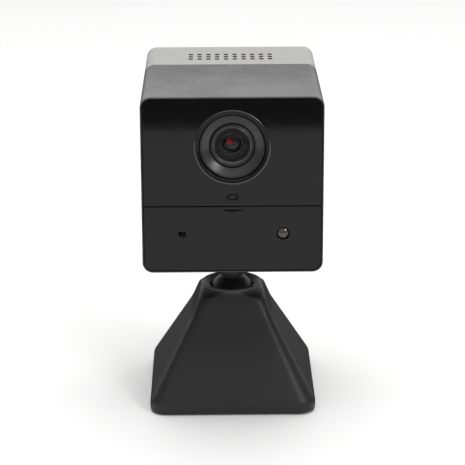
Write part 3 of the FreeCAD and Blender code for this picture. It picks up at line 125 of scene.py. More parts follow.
def add_stage():
    """Pale floor, and two black studio flags on it that only reflections see."""
    span = (-FLOOR_HALF, FLOOR_HALF)
    floor = rectangle("floor", span, span, 0)
    floor.data.materials.append(stage_material("floor_pale", FLOOR_COLOUR, FLOOR_ROUGHNESS))
    flags = (("flag_front", (-FLAG_FAR_Y, FLAG_FRONT_Y)), ("flag_back", (FLAG_BACK_Y, FLAG_FAR_Y)))
    for name, y_range in flags:
        flag = rectangle(name, (-FLAG_HALF_X, FLAG_HALF_X), y_range, FLAG_HEIGHT)
        flag.data.materials.append(stage_material("flag_black", FLAG_COLOUR, 1.0))
        flag.visible_camera = False
        flag.visible_diffuse = False
        flag.visible_shadow = False
        flag.visible_transmission = False


# Place along Y, from in front (0) to behind (1), and the grey of the studio there.
WORLD_STOPS = ((0.0, 0.62), (0.22, 0.50), (0.36, 0.16), (0.50, 0.04), (0.62, 0.30), (0.76, 0.85), (1.0, 1.1))


def add_world():
    """White backdrop behind the object, dark at its sides and grey in front."""
    world = bpy.data.worlds.new("studio")
    bpy.context.scene.world = world
    world.use_nodes = True
    tree = world.node_tree
    background = tree.nodes["Background"]
    background.inputs["Strength"].default_value = 1.0
    place = tree.nodes.new("ShaderNodeTexCoord")
    split = tree.nodes.new("ShaderNodeSeparateXYZ")
    ramp = tree.nodes.new("ShaderNodeValToRGB")
    span = tree.nodes.new("ShaderNodeMapRange")
    span.inputs["From Min"].default_value = -1.0
    span.inputs["From Max"].default_value = 1.0
    tree.links.new(place.outputs["Generated"], split.inputs["Vector"])
    tree.links.new(split.outputs["Y"], span.inputs["Value"])
    tree.links.new(span.outputs["Result"], ramp.inputs["Fac"])
    tree.links.new(ramp.outputs["Color"], background.inputs["Color"])
    elements = ramp.color_ramp.elements
    for position, _ in WORLD_STOPS[1:-1]:
        elements.new(position)
    for element, (position, level) in zip(elements, WORLD_STOPS):
        element.position = position
        element.color = (level, level, level, 1)


LIGHT_TARGET = (0, 0, 0.06)
# Name, place, size and power in watts.
LIGHTS = (("key", (0.60, -0.72, 0.55), (0.26, 0.26), 3.0),
          ("fill", (-0.62, -0.64, 0.50), (0.34, 0.34), 0.12),
          ("overhead", (0.0, 0.0, 1.25), (1.7, 1.5), 16.5))


def add_lights():
    for name, place, size, power in LIGHTS:
        add_area(name, place, LIGHT_TARGET, size, power)


# ---------------------------------------------------------------- material tools

# Sockets of the mix node that carry colours.
MIX_FIRST = 6
MIX_SECOND = 7
MIX_RESULT = 2


class Builder:
    """Small helper that adds and links shader nodes in one material."""

    def __init__(self, name):
        self.material = bpy.data.materials.new(name)
        self.material.use_nodes = True
        self.tree = self.material.node_tree
        self.shader = self.tree.nodes["Principled BSDF"]
        self.place = self.add("ShaderNodeTexCoord").outputs["Object"]

    def add(self, kind, **values):
        node = self.tree.nodes.new(kind)
        for key, value in values.items():
            if hasattr(node, key):
                setattr(node, key, value)
            else:
                node.inputs[key.replace("_", " ")].default_value = value
        return node

    def link(self, source, target):
        self.tree.links.new(source, target)

    def set(self, **values):
        for key, value in values.items():
            self.shader.inputs[key.replace("_", " ")].default_value = value

    def stretched(self, scale):
        mapping = self.add("ShaderNodeMapping")
        mapping.inputs["Scale"].default_value = scale
        self.link(self.place, mapping.inputs["Vector"])
        return mapping.outputs["Vector"]

    def noise(self, scale, detail=2.0, place=None, roughness=0.5):
        node = self.add("ShaderNodeTexNoise")
        node.inputs["Scale"].default_value = scale
        node.inputs["Detail"].default_value = detail
        node.inputs["Roughness"].default_value = roughness
        self.link(place or self.place, node.inputs["Vector"])
        return node.outputs["Fac"]

    def cells(self, scale, feature="F1"):
        node = self.add("ShaderNodeTexVoronoi", feature=feature)
        node.inputs["Scale"].default_value = scale
        self.link(self.place, node.inputs["Vector"])
        return node.outputs["Distance"]

    def spread(self, value, low, high, from_low=0.3, from_high=0.7):
        node = self.add("ShaderNodeMapRange")
        node.inputs["From Min"].default_value = from_low
        node.inputs["From Max"].default_value = from_high
        node.inputs["To Min"].default_value = low
        node.inputs["To Max"].default_value = high
        self.link(value, node.inputs["Value"])
        return node.outputs["Result"]

    def axes(self):
        """X, Y and Z of the place on the object, in metres."""
        node = self.add("ShaderNodeSeparateXYZ")
        self.link(self.place, node.inputs["Vector"])
        return node.outputs

    def math(self, operation, first, second, clamped=False):
        node = self.add("ShaderNodeMath", operation=operation, use_clamp=clamped)
        for socket, value in zip(node.inputs, (first, second)):
            if hasattr(value, "is_linked"):
                self.link(value, socket)
            else:
                socket.default_value = value
        return node.outputs[0]

    def length(self, vector):
        node = self.add("ShaderNodeVectorMath", operation="LENGTH")
        self.link(vector, node.inputs[0])
        return node.outputs["Value"]

    def mix(self, factor, first, second):
        """First colour where factor is 0 and the second where it is 1."""
        node = self.add("ShaderNodeMix", data_type="RGBA")
        self.link(factor, node.inputs["Factor"])
        for socket, colour in ((node.inputs[MIX_FIRST], first), (node.inputs[MIX_SECOND], second)):
            if hasattr(colour, "is_linked"):
                self.link(colour, socket)
            else:
                socket.default_value = (*colour, 1)
        return node.outputs[MIX_RESULT]

    def bump(self, height, distance, strength=1.0, normal=None):
        node = self.add("ShaderNodeBump")
        node.inputs["Distance"].default_value = distance
        node.inputs["Strength"].default_value = strength
        self.link(height, node.inputs["Height"])
        if normal:
            self.link(normal, node.inputs["Normal"])
        return node.outputs["Normal"]

    def colour(self, value):
        self.link(value, self.shader.inputs["Base Color"])

    def roughness(self, value):
        self.link(value, self.shader.inputs["Roughness"])

    def normal(self, value):
        self.link(value, self.shader.inputs["Normal"])


def scaled(colour, factor):
    return tuple(min(1.0, channel * factor) for channel in colour)


def moulded(name, colour, roughness, grain_mm=0.25, grain_depth=0.006, mottle=0.12, rough_spread=0.05):
    """Moulded plastic: spark-eroded grain, a faint cloudy tone and uneven gloss."""
    b = Builder(name)
    tone = b.spread(b.noise(160.0, 3.0), 0.0, 1.0)
    b.colour(b.mix(tone, scaled(colour, 1 - mottle), scaled(colour, 1 + mottle)))
    b.roughness(b.spread(b.noise(900.0, 4.0), roughness - rough_spread, roughness + rough_spread))
    grain = b.noise(1.0 / (grain_mm * MM), 3.0, roughness=0.65)
    b.normal(b.bump(grain, grain_depth * MM))
    return b


def glossy(name, colour, roughness, orange_peel=0.0012):
    """Polished plastic: a smooth finish with faint waviness, uneven haze and a slightly uneven tone."""
    b = Builder(name)
    haze = b.spread(b.noise(300.0, 4.0), roughness * 0.8, roughness * 1.3)
    b.roughness(haze)
    b.colour(b.mix(b.spread(b.noise(90.0), 0.0, 1.0), scaled(colour, 0.85), scaled(colour, 1.15)))
    b.normal(b.bump(b.noise(220.0, 1.0), orange_peel * MM))
    return b


def metal(name, colour, roughness, stretch=(1, 1, 40), scale=220.0, depth=0.002):
    """Plated or turned metal with fine drawn lines."""
    b = Builder(name)
    b.set(Metallic=1.0)
    lines = b.noise(scale, 4.0, b.stretched(stretch))
    b.colour(b.mix(b.spread(b.noise(500.0, 3.0), 0.0, 1.0), scaled(colour, 0.88), scaled(colour, 1.08)))
    b.roughness(b.spread(lines, roughness - 0.06, roughness + 0.08))
    b.normal(b.bump(lines, depth * MM))
    return b


def rubber(name, colour, roughness=0.75):
    """Matte rubber with a pebbled skin and a light bloom of dust."""
    b = Builder(name)
    pebble = b.cells(3200.0)
    dust_and_sheen = b.spread(b.noise(700.0, 5.0), 0.0, 0.5, 0.55, 0.8)
    b.colour(b.mix(dust_and_sheen, colour, scaled(colour, 1.8)))
    b.roughness(b.spread(b.noise(1500.0, 2.0), roughness - 0.08, roughness + 0.08))
    b.normal(b.bump(pebble, 0.01 * MM))
    return b


def glass(name, tint, roughness=0.02, ior=1.5):
    """Clear optical material with faint smears on its surface."""
    b = Builder(name)
    b.set(Base_Color=(*tint, 1), IOR=ior, Transmission_Weight=1.0)
    b.roughness(b.spread(b.noise(260.0, 4.0), roughness * 0.5, roughness * 2.0))
    b.normal(b.bump(b.noise(400.0), 0.0004 * MM))
    return b


def circuit(name):
    """Solder-masked board: copper tracks under green lacquer, and bare pads."""
    b = Builder(name)
    tracks = b.add("ShaderNodeTexBrick", offset=0.5)
    tracks.inputs["Scale"].default_value = 520.0
    tracks.inputs["Mortar Size"].default_value = 0.018
    b.link(b.stretched((1.0, 1.0, 1.0)), tracks.inputs["Vector"])
    mask = b.mix(b.spread(b.noise(1200.0, 3.0), 0.0, 1.0), (0.008, 0.07, 0.035), (0.012, 0.11, 0.05))
    lit = b.mix(tracks.outputs["Fac"], mask, (0.02, 0.19, 0.08))
    pads = b.spread(b.cells(900.0), 1.0, 0.0, 0.12, 0.16)
    b.colour(b.mix(pads, lit, (0.55, 0.42, 0.2)))
    b.roughness(b.spread(b.noise(800.0), 0.25, 0.45))
    b.normal(b.bump(tracks.outputs["Fac"], 0.02 * MM))
    return b


# ---------------------------------------------------------------- the materials

SLEEVE_BLACK = (0.018, 0.018, 0.0178)


def sleeve_black():
    """Spark-eroded black plastic, its top painted darker at the rear and paler in clouds towards the front:
    painted shade and painted sheen.
    """
    b = moulded("sleeve_black", SLEEVE_BLACK, 0.36, rough_spread=0.05)
    _, along, up = b.axes()
    low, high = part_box("front_sleeve")
    # The top's painted sheen: a ramp from the rear to the front, with clouds in it.
    forward = b.spread(along, 1.0, 0.0, low[1], high[1])
    cloud = b.spread(b.noise(70.0, 2.0), -0.3, 0.3)
    haze = b.math("ADD", forward, cloud, clamped=True)
    on_top = b.spread(up, 0.0, 1.0, high[2] - 3.0 * MM, high[2] - 0.5 * MM)
    dust_and_sheen = b.math("MULTIPLY", haze, on_top)
    # Painted shade at the rear of the top, and painted sheen towards its front.
    top_shade = b.mix(on_top, SLEEVE_BLACK, (0.002, 0.002, 0.002))
    b.colour(b.mix(dust_and_sheen, top_shade, (0.082, 0.082, 0.080)))
    fine = b.bump(b.noise(11000.0, 4.0, roughness=0.7), 0.012 * MM)
    peaks = b.spread(b.cells(8200.0), 1.0, 0.0, 0.1, 0.6)
    b.normal(b.bump(peaks, 0.006 * MM, 0.7, fine))
    return b.material


def within(b, value, low, high):
    """1 where value lies between low and high, else 0."""
    above = b.math("GREATER_THAN", value, low)
    below = b.math("LESS_THAN", value, high)
    return b.math("MULTIPLY", above, below)


def shell_grey():
    """Pale grey moulding, with the walls of each speaker slot coloured near black as painted shade."""
    ground = (0.335, 0.332, 0.319)
    b = moulded("shell_grey", ground, 0.5)
    low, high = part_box("speaker_frame")
    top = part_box("rear_shell")[1][2]
    across, along, up = b.axes()
    over_speaker = b.math("MULTIPLY", within(b, across, low[0], high[0]), within(b, along, low[1], high[1]))
    in_wall = within(b, up, top - 1.9 * MM, top - 0.12 * MM)
    # Painted shade: the walls of the speaker openings, where shade falls, go near black.
    slot_shade = b.math("MULTIPLY", over_speaker, in_wall)
    tone = b.spread(b.noise(160.0, 3.0), 0.0, 1.0)
    face = b.mix(tone, scaled(ground, 0.97), scaled(ground, 1.03))
    b.colour(b.mix(slot_shade, face, (0.006, 0.006, 0.006)))
    fine = b.bump(b.noise(5200.0, 3.0), 0.012 * MM)
    b.normal(b.bump(b.noise(700.0, 2.0), 0.02 * MM, 0.5, fine))
    return b.material


def panel_black():
    """Gloss black window plastic with a few specks of lint."""
    ground = (0.0045, 0.0045, 0.0045)
    b = glossy("panel_black", ground, 0.055)
    b.set(IOR=1.33)
    lint = b.spread(b.cells(330.0), 1.0, 0.0, 0.012, 0.02)
    b.colour(b.mix(lint, ground, (0.03, 0.03, 0.03)))
    return b.material


def satin_black():
    """Satin black moulding, its rim coloured pale as a painted sheen."""
    ground = (0.013, 0.013, 0.0128)
    b = moulded("satin_black", ground, 0.44, grain_mm=0.3, grain_depth=0.003)
    b.set(IOR=1.4)
    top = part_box("base_shell")[1][2]
    # Painted sheen: the top of the rim is coloured pale grey.
    rim_sheen = b.spread(b.axes()["Z"], 0.0, 1.0, top - 1.6 * MM, top - 0.5 * MM)
    b.colour(b.mix(rim_sheen, ground, (0.085, 0.085, 0.083)))
    return b.material


def coated_glass():
    """The infrared cut filter's glass: it lets red through."""
    b = glass("coated_glass", (0.85, 0.25, 0.22), 0.05)
    b.set(Specular_IOR_Level=0.8)
    return b.material


def lens_offset(b, x_mm=0.0, z_mm=0.0):
    """Distance in millimetres from a point beside the lens axis, seen along that axis."""
    flat = b.add("ShaderNodeMapping")
    flat.inputs["Scale"].default_value = (1 / MM, 0.0, 1 / MM)
    flat.inputs["Location"].default_value = (-x_mm, 0.0, -lens_centre.z / MM - z_mm)
    b.link(b.place, flat.inputs["Vector"])
    return b.length(flat.outputs["Vector"])


def front_glass():
    """Bloomed front element: nearly clear, with a faint amber band at its edge that is a painted reflection,
    and uneven gloss.
    """
    b = Builder("front_glass")
    b.set(IOR=1.55, Alpha=0.2, Specular_IOR_Level=0.2)
    # Painted reflection: an amber glint coloured in a band at the glass's edge.
    edge = b.spread(lens_offset(b), 0.0, 1.0, 4.6, 4.95)
    b.colour(b.mix(edge, (0.004, 0.004, 0.005), (0.06, 0.035, 0.012)))
    b.roughness(b.spread(b.noise(260.0, 4.0), 0.03, 0.09))
    return b.material


def inner_glass():
    """Second element with painted reflections: a ragged red patch on one side and a brown one on the other.
    """
    b = Builder("inner_glass")
    b.set(IOR=1.6)
    # Painted reflections: a red glint and a brown one, coloured into the glass.
    ragged = b.spread(b.noise(1900.0, 3.0), -0.45, 0.45)
    red_reflection_reach = b.math("ADD", lens_offset(b, -0.75, 0.35), ragged)
    brown_reflection_reach = b.math("ADD", lens_offset(b, 0.5, 0.55), ragged)
    brown = b.spread(brown_reflection_reach, 1.0, 0.0, 0.3, 0.9)
    red = b.spread(red_reflection_reach, 1.0, 0.0, 0.35, 0.85)
    ground = b.mix(brown, (0.006, 0.006, 0.007), (0.075, 0.03, 0.018))
    b.colour(b.mix(red, ground, (0.75, 0.015, 0.035)))
    b.roughness(b.spread(b.noise(260.0, 4.0), 0.04, 0.1))
    return b.material


def ring_black():
    """Anodised ring with bright edges."""
    b = glossy("ring_black", (0.010, 0.010, 0.010), 0.17, orange_peel=0.0)
    b.set(Specular_IOR_Level=1.0, Coat_Weight=1.0, Coat_Roughness=0.15)
    return b.material


def bezel_black():
    """Satin funnel with a soft, uneven sheen."""
    b = glossy("bezel_black", (0.008, 0.008, 0.008), 0.31)
    b.set(Specular_IOR_Level=0.62)
    return b.material


def trim_black():
    """Black ring, dull on its face and bright on its rolled edge."""
    b = glossy("trim_black", (0.005, 0.005, 0.005), 0.2)
    shine = b.spread(lens_offset(b), 0.22, 1.0, trim_radius - TRIM_ROLL, trim_radius - 0.3)
    b.link(shine, b.shader.inputs["Specular IOR Level"])
    return b.material


def window_amber():
    """Tinted clear plastic over the light sensor."""
    b = glossy("window_amber", (0.034, 0.025, 0.021), 0.1)
    b.set(Coat_Weight=0.5, Coat_Roughness=0.06)
    return b.material


def ball_black():
    """Black ball and stem, a little smoother than the base."""
    b = moulded("ball_black", (0.012, 0.012, 0.012), 0.4, grain_mm=0.2, grain_depth=0.002)
    b.set(IOR=1.38)
    return b.material


def sensor_chip():
    """Image sensor under its cover glass, with a violet sheen."""
    b = glossy("sensor_chip", (0.06, 0.045, 0.08), 0.15)
    b.set(Metallic=0.6)
    return b.material


def diffuser():
    """Smoked window of the status light: grey inside, with painted shade darkening its edge where it meets
    the panel.
    """
    b = moulded("diffuser", (0.02, 0.02, 0.021), 0.3, grain_mm=0.3, grain_depth=0.002)
    low, high = (Vector(corner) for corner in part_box("light_pipe"))
    half = (high - low) / 2
    shrink = b.add("ShaderNodeMapping")
    shrink.inputs["Scale"].default_value = (1 / half.x, 0.0, 1 / half.z)
    shrink.inputs["Location"].default_value = (0.0, 0.0, -(low.z + half.z) / half.z)
    b.link(b.place, shrink.inputs["Vector"])
    # Painted shade: the window's edge goes near black, where the gap to the panel is shaded.
    rim = b.spread(b.length(shrink.outputs["Vector"]), 0.0, 1.0, 0.5, 0.72)
    b.colour(b.mix(rim, (0.020, 0.020, 0.021), (0.001, 0.001, 0.001)))
    b.set(Specular_IOR_Level=0.15)
    return b.material


SLOT_MATERIALS = {
    "sleeve_black": sleeve_black,
    "shell_grey": shell_grey,
    "panel_black": panel_black,
    "satin_black": satin_black,
    "cone_paper": lambda: moulded("cone_paper", (0.06, 0.06, 0.06), 0.85, 0.12, 0.03).material,
    "cell_wrap": lambda: glossy("cell_wrap", (0.03, 0.09, 0.3), 0.3, orange_peel=0.02).material,
    "coated_glass": coated_glass,
    "sensor_chip": sensor_chip,
    "diffuser": diffuser,
    "inner_black": lambda: moulded("inner_black", (0.02, 0.02, 0.02), 0.6).material,
    "liner_plastic": lambda: moulded("liner_plastic", (0.05, 0.05, 0.05), 0.35).material,
    "ball_black": ball_black,
    "front_glass": front_glass,
    "inner_glass": inner_glass,
    "ring_black": ring_black,
    "button_black": lambda: moulded("button_black", (0.03, 0.03, 0.03), 0.45).material,
    "trim_black": trim_black,
    "bezel_black": bezel_black,
    "foot_rubber": lambda: rubber("foot_rubber", (0.02, 0.02, 0.02)).material,
    "seal_rubber": lambda: rubber("seal_rubber", (0.025, 0.025, 0.025)).material,
    "flap_rubber": lambda: rubber("flap_rubber", (0.40, 0.40, 0.39), 0.65).material,
    "wire_red": lambda: rubber("wire_red", (0.35, 0.012, 0.012), 0.5).material,
    "steel": lambda: metal("steel", (0.55, 0.55, 0.56), 0.3).material,
    "ballast_steel": lambda: metal("ballast_steel", (0.42, 0.42, 0.43), 0.42).material,
    "shield_steel": lambda: metal("shield_steel", (0.62, 0.62, 0.61), 0.28).material,
    "microphone_can": lambda: metal("microphone_can", (0.7, 0.7, 0.7), 0.3).material,
    "barrel_black": lambda: moulded("barrel_black", (0.006, 0.006, 0.006), 0.5, grain_mm=0.1).material,
    "clear_window": window_amber,
    "lens_glass": lambda: glass("lens_glass", (0.93, 0.97, 1.0), 0.01, 1.6).material,
    "circuit_board": lambda: circuit("circuit_board").material,
}
materials = {}


def finish_for(slot):
    if slot not in materials:
        materials[slot] = SLOT_MATERIALS[slot]()
    return materials[slot]


def paint_nodes():
    for entry in frame["record"]["subparts"]:
        node = nodes[entry["node"]]
        node.data.materials.clear()
        node.data.materials.append(finish_for(entry["material_slot"]))


# ---------------------------------------------------------------- mesh tools

def new_piece(name, vertices, faces, sharp_degrees):
    """Smooth-shaded object from mesh data, its edges sharp past the given angle."""
    mesh = bpy.data.meshes.new(name)
    mesh.from_pydata(vertices, [], faces)
    mesh.validate()
    mesh.polygons.foreach_set("use_smooth", [True] * len(mesh.polygons))
    mesh.set_sharp_from_angle(angle=math.radians(sharp_degrees))
    mesh.update()
    return link_mesh(name, mesh)


def eased(points, radii, steps=5):
    """Closed outline with each corner of radii[i] > 0 replaced by a rounded run of points."""
    result = []
    count = len(points)
    for i, (point, radius) in enumerate(zip(points, radii)):
        corner = Vector(point)
        to_last = Vector(points[i - 1]) - corner
        to_next = Vector(points[(i + 1) % count]) - corner
        if radius <= 0:
            result.append(tuple(corner))
            continue
        turn = to_last.angle(to_next)
        reach = min(radius / math.tan(turn / 2), to_last.length * 0.49, to_next.length * 0.49)
        start = corner + to_last.normalized() * reach
        end = corner + to_next.normalized() * reach
        for step in range(steps + 1):
            t = step / steps
            result.append(tuple(start * (1 - t) ** 2 + corner * (2 * t * (1 - t)) + end * t ** 2))
    return result


def around(segments):
    return [2 * math.pi * k / segments for k in range(segments)]


def about_lens_axis(outline, centre, segments):
    """Points of an outline of (radius, depth behind centre) in millimetres, at each step of a full turn."""
    cx, cy, cz = centre
    return [(cx + radius * MM * math.cos(angle), cy + depth * MM, cz + radius * MM * math.sin(angle))
            for angle in around(segments) for radius, depth in outline]


def ring_faces(rows, turns):
    """Faces of a closed band of rings, each with the given number of points."""
    faces = []
    for k in range(turns):
        here = k * rows
        there = (k + 1) % turns * rows
        for i in range(rows):
            j = (i + 1) % rows
            faces.append((here + i, there + i, there + j, here + j))
    return faces


def capped_faces(rows, segments):
    """Faces of a turned solid whose first two points are its poles."""
    faces = []
    for k in range(segments):
        here = 2 + k * rows
        there = 2 + (k + 1) % segments * rows
        faces.append((0, there, here))
        faces.append((1, here + rows - 1, there + rows - 1))
        for i in range(rows - 1):
            faces.append((here + i, there + i, there + i + 1, here + i + 1))
    return faces


def turned(name, outline, centre, segments=192):
    """Ring turned about the lens axis, from a closed outline."""
    vertices = about_lens_axis(outline, centre, segments)
    return new_piece(name, vertices, ring_faces(len(outline), segments), 35.0)


def turned_solid(name, outline, centre, segments=128):
    """Solid turned about the lens axis, from an outline that runs from the axis to the axis."""
    poles = [(centre[0], centre[1] + depth * MM, centre[2]) for _, depth in (outline[0], outline[-1])]
    rim = outline[1:-1]
    vertices = poles + about_lens_axis(rim, centre, segments)
    return new_piece(name, vertices, capped_faces(len(rim), segments), 30.0)


def finished(piece, body, slot, *replaced, finish=None):
    """Give a piece the material of its slot, or of finish when given, hide the nodes it replaces and attach
    it to its body.
    """
    piece.data.materials.append(finish_for(finish or slot))
    if replaced:
        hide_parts(*replaced)
    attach(piece, body)
    return piece


def depth_of(node, centre):
    """Front and back of a node along the lens axis, in millimetres behind centre."""
    low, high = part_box(node)
    return (low[1] - centre[1]) / MM, (high[1] - centre[1]) / MM


def half_width(node):
    low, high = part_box(node)
    return (high[0] - low[0]) / 2 / MM


# ---------------------------------------------------------------- lens

trim_low, trim_high = (Vector(corner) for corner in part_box("lens_trim_ring"))
lens_centre = Vector((0.0, trim_low.y, (trim_low.z + trim_high.z) / 2))
trim_radius = half_width("lens_trim_ring")
bezel_radius = half_width("lens_bezel")
barrel_radius = half_width("lens_barrel")
panel_depth = depth_of("front_panel", lens_centre)[0]
TRIM_ROLL = 0.45
TRIM_GAP = 0.12
BEZEL_GAP = 0.26
BARREL_LIP = 0.64
BARREL_WALL = 2.1
BARREL_SEAT = 2.4
RETAINER_W = 0.7
GLASS_INSET = 1.2
INNER_LENS_R = 2.75
INNER_SEAT_R = 2.8
INNER_SEAT_W = 0.4
BAFFLE_BACK = 2.2
BAFFLE_STEPS = 3


def quarter(start, end, hollow=False, steps=6):
    """Points of a quarter ellipse from start to end, (radius, depth) in millimetres."""
    points = []
    for k in range(1, steps + 1):
        angle = math.pi / 2 * k / steps
        across = 1 - math.cos(angle) if hollow else math.sin(angle)
        along = math.sin(angle) if hollow else 1 - math.cos(angle)
        points.append((start[0] + (end[0] - start[0]) * along, start[1] + (end[1] - start[1]) * across))
    return points


def add_trim_ring():
    """Raised ring round the lens: a thin rolled outer edge and a broad face that dips to the bezel."""
    back = depth_of("lens_trim_ring", lens_centre)[1]
    inner = bezel_radius + TRIM_GAP
    edge = trim_radius - 0.01
    outline = [(edge, back), (edge, panel_depth)]
    outline += quarter(outline[-1], (trim_radius - TRIM_ROLL, 0.005), steps=9)
    outline += quarter(outline[-1], (inner + 0.2, 0.22), hollow=True)
    outline += [(inner + 0.06, 0.34), (inner, 0.55), (inner, back)]
    return finished(turned("lens_trim", outline, lens_centre), "head", "trim_black", "lens_trim_ring")


def add_bezel():
    """Funnel between the trim and the barrel: a rolled outer edge, a satin cone and a stepped throat."""
    front, back = depth_of("lens_bezel", lens_centre)
    bore = barrel_radius + BEZEL_GAP
    points = [(bezel_radius, back), (bezel_radius, front + 0.25), (bezel_radius - 0.12, front),
              (bezel_radius - 0.42, front + 0.02), (bezel_radius - 0.55, front + 0.26),
              (bore + 0.16, front + 1.5), (bore + 0.02, front + 1.56), (bore, front + 1.9), (bore, back)]
    radii = [0, 0.1, 0.1, 0.12, 0.1, 0.1, 0.05, 0.1, 0]
    outline = eased(points, radii)
    return finished(turned("lens_cone", outline, lens_centre), "head", "bezel_black", "lens_bezel")


def add_barrel():
    """Dull black barrel: a bevelled front face round the retaining ring's seat."""
    front, back = depth_of("lens_barrel", lens_centre)
    r = barrel_radius
    lip = r - BARREL_LIP
    bore = r - BARREL_WALL
    points = [(r, back), (r, front + 0.6), (r - 0.12, front + 0.3), (r - 0.5, front + 0.12),
              (lip + 0.02, front + 0.2), (lip, front + 0.3),
              (lip, front + BARREL_SEAT), (bore, front + BARREL_SEAT), (bore, back)]
    radii = [0, 0.1, 0.08, 0.08, 0.05, 0.04, 0, 0.05, 0]
    outline = eased(points, radii)
    return finished(turned("lens_tube", outline, lens_centre), "head", "barrel_black", "lens_barrel")


def ridge(middle, reach, depth, rise, steps=8):
    """Half-round ridge on a ring's face, from its outer foot to its inner one."""
    points = []
    for k in range(steps + 1):
        angle = math.pi * k / steps
        points.append((middle + reach * math.cos(angle), depth - rise * math.sin(angle)))
    return points


def add_retainer():
    """Retaining ring of the front lens: two fine rounded ridges and a slanted inner lip."""
    front, back = depth_of("lens_retainer", lens_centre)
    outer = barrel_radius - BARREL_LIP - 0.02
    inner = outer - RETAINER_W
    outline = [(outer, back), (outer, front + 0.2)]
    outline += ridge(outer - 0.14, 0.12, front + 0.16, 0.13)
    outline += ridge(outer - 0.40, 0.12, front + 0.24, 0.12)
    outline += [(inner + 0.12, front + 0.3), (inner + 0.03, front + 0.36), (inner, front + 0.42),
                (inner, back - 0.02), (inner + 0.03, back)]
    return finished(turned("lens_ring", outline, lens_centre), "head", "barrel_black", "lens_retainer",
                    finish="ring_black")


def dome_outline(radius, front, bulge, thickness, hollow=0.0, steps=14):
    """Lens outline from axis to axis: a bulging front, a straight edge and a flat or hollow back."""
    outline = []
    for k in range(steps + 1):
        t = k / steps
        outline.append((radius * math.sin(t * math.pi / 2), front + bulge * (1 - math.cos(t * math.pi / 2))))
    back = front + bulge + thickness
    outline.append((radius, back))
    if hollow > 0:
        for k in range(steps, -1, -1):
            t = k / steps
            outline.append((radius * 0.92 * math.sin(t * math.pi / 2),
                            back - hollow * math.cos(t * math.pi / 2)))
    else:
        outline.append((0.0, back))
    return outline


def add_front_lens():
    front = depth_of("front_lens", lens_centre)[0]
    outline = dome_outline(barrel_radius - GLASS_INSET, front + 0.02, 0.95, 1.1, hollow=1.1)
    return finished(turned_solid("front_glass", outline, lens_centre), "head", "lens_glass", "front_lens",
                    finish="front_glass")


def add_inner_lens():
    front = depth_of("rear_lens", lens_centre)[0]
    outline = dome_outline(INNER_LENS_R, front - 0.1, 0.75, 1.3)
    return finished(turned_solid("inner_glass", outline, lens_centre), "head", "lens_glass", "rear_lens",
                    finish="inner_glass")


def add_baffles():
    """Stepped dull baffle behind the front glass, and the bright seat of the second lens."""
    start = depth_of("front_lens", lens_centre)[0] + 2.2
    back = start + BAFFLE_BACK
    outer = barrel_radius - 0.7
    outline = [(outer, back), (outer, start + 0.2)]
    for k in range(BAFFLE_STEPS):
        radius = outer - 0.3 - k * (outer - 0.8 - INNER_SEAT_R) / BAFFLE_STEPS
        depth = start + 0.1 + 0.34 * k
        outline += [(radius, depth), (radius - 0.12, depth + 0.2)]
    edge = INNER_SEAT_R + INNER_SEAT_W
    outline += [(edge + 0.02, start + 1.2), (edge + 0.02, back)]
    finished(turned("lens_baffle", outline, lens_centre), "head", "barrel_black")
    seat = [(edge, back), (edge, start + 1.15)]
    seat += ridge(INNER_SEAT_R + INNER_SEAT_W / 2, INNER_SEAT_W / 2, start + 1.1, 0.16)
    seat += [(INNER_SEAT_R, back)]
    finished(turned("inner_seat", seat, lens_centre), "head", "barrel_black", finish="ring_black")


# ---------------------------------------------------------------- ball

STEM_THIN = 2.0
NECK_FLARE = 1.0
NECK_RISE = 2.6
NECK_STEPS = 10
BALL_STEPS = 40
STEM_BEVEL = 0.2
BORE_L = 8.0


def upright(name, outline, segments=128):
    """Solid turned about the vertical axis. outline lists (radius, height) in millimetres, axis to axis."""
    poles = [(0, 0, height * MM) for _, height in (outline[0], outline[-1])]
    rim = outline[1:-1]
    vertices = [(r * MM * math.cos(angle), r * MM * math.sin(angle), z * MM)
                for angle in around(segments) for r, z in rim]
    return new_piece(name, poles + vertices, capped_faces(len(rim), segments), 40.0)


def ball_outline(radius, centre, neck_angle):
    """From the bottom of the ball up to where its neck starts."""
    outline = [(0.0, centre - radius)]
    for k in range(1, BALL_STEPS + 1):
        angle = -math.pi / 2 + (math.pi / 2 + neck_angle) * k / BALL_STEPS
        outline.append((radius * math.cos(angle), centre + radius * math.sin(angle)))
    return outline


def add_ball():
    """Ball whose neck sweeps up into the stem, bored at its top for the screw."""
    low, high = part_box("ball_stud")
    radius = high[0] / MM
    top = high[2] / MM
    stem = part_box("stem_washer")[1][0] / MM - STEM_THIN
    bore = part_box("stem_screw")[1][0] / MM / 2
    outline = ball_outline(radius, low[2] / MM + radius, math.acos((stem + NECK_FLARE) / radius))
    foot = outline[-1]
    for k in range(1, NECK_STEPS + 1):
        angle = math.pi / 2 * k / NECK_STEPS
        outline.append((stem + (foot[0] - stem) * (1 - math.sin(angle)),
                        foot[1] + NECK_RISE * (1 - math.cos(angle))))
    outline += [(stem, top - STEM_BEVEL), (stem - STEM_BEVEL, top), (bore, top), (bore, top - BORE_L),
                (0.0, top - BORE_L)]
    return finished(upright("ball_and_stem", outline), "ball", "ball_black", "ball_stud")


# ---------------------------------------------------------------- base shell

RING_STEPS = 12


def square_ring(half, radius, z):
    """Rounded square ring in millimetres, with the same point count for every size."""
    radius = min(radius, half)
    flat = half - radius
    points = []
    for quarter in range(4):
        turn = math.pi / 2 * quarter
        for k in range(-RING_STEPS // 2, RING_STEPS // 2):
            y = flat * k / (RING_STEPS / 2)
            points.append((half, y, turn))
        for k in range(RING_STEPS):
            angle = math.pi / 2 * k / RING_STEPS
            points.append((flat + radius * math.cos(angle), flat + radius * math.sin(angle), turn))
    return [((x * math.cos(a) - y * math.sin(a)) * MM, (x * math.sin(a) + y * math.cos(a)) * MM, z * MM)
            for x, y, a in points]


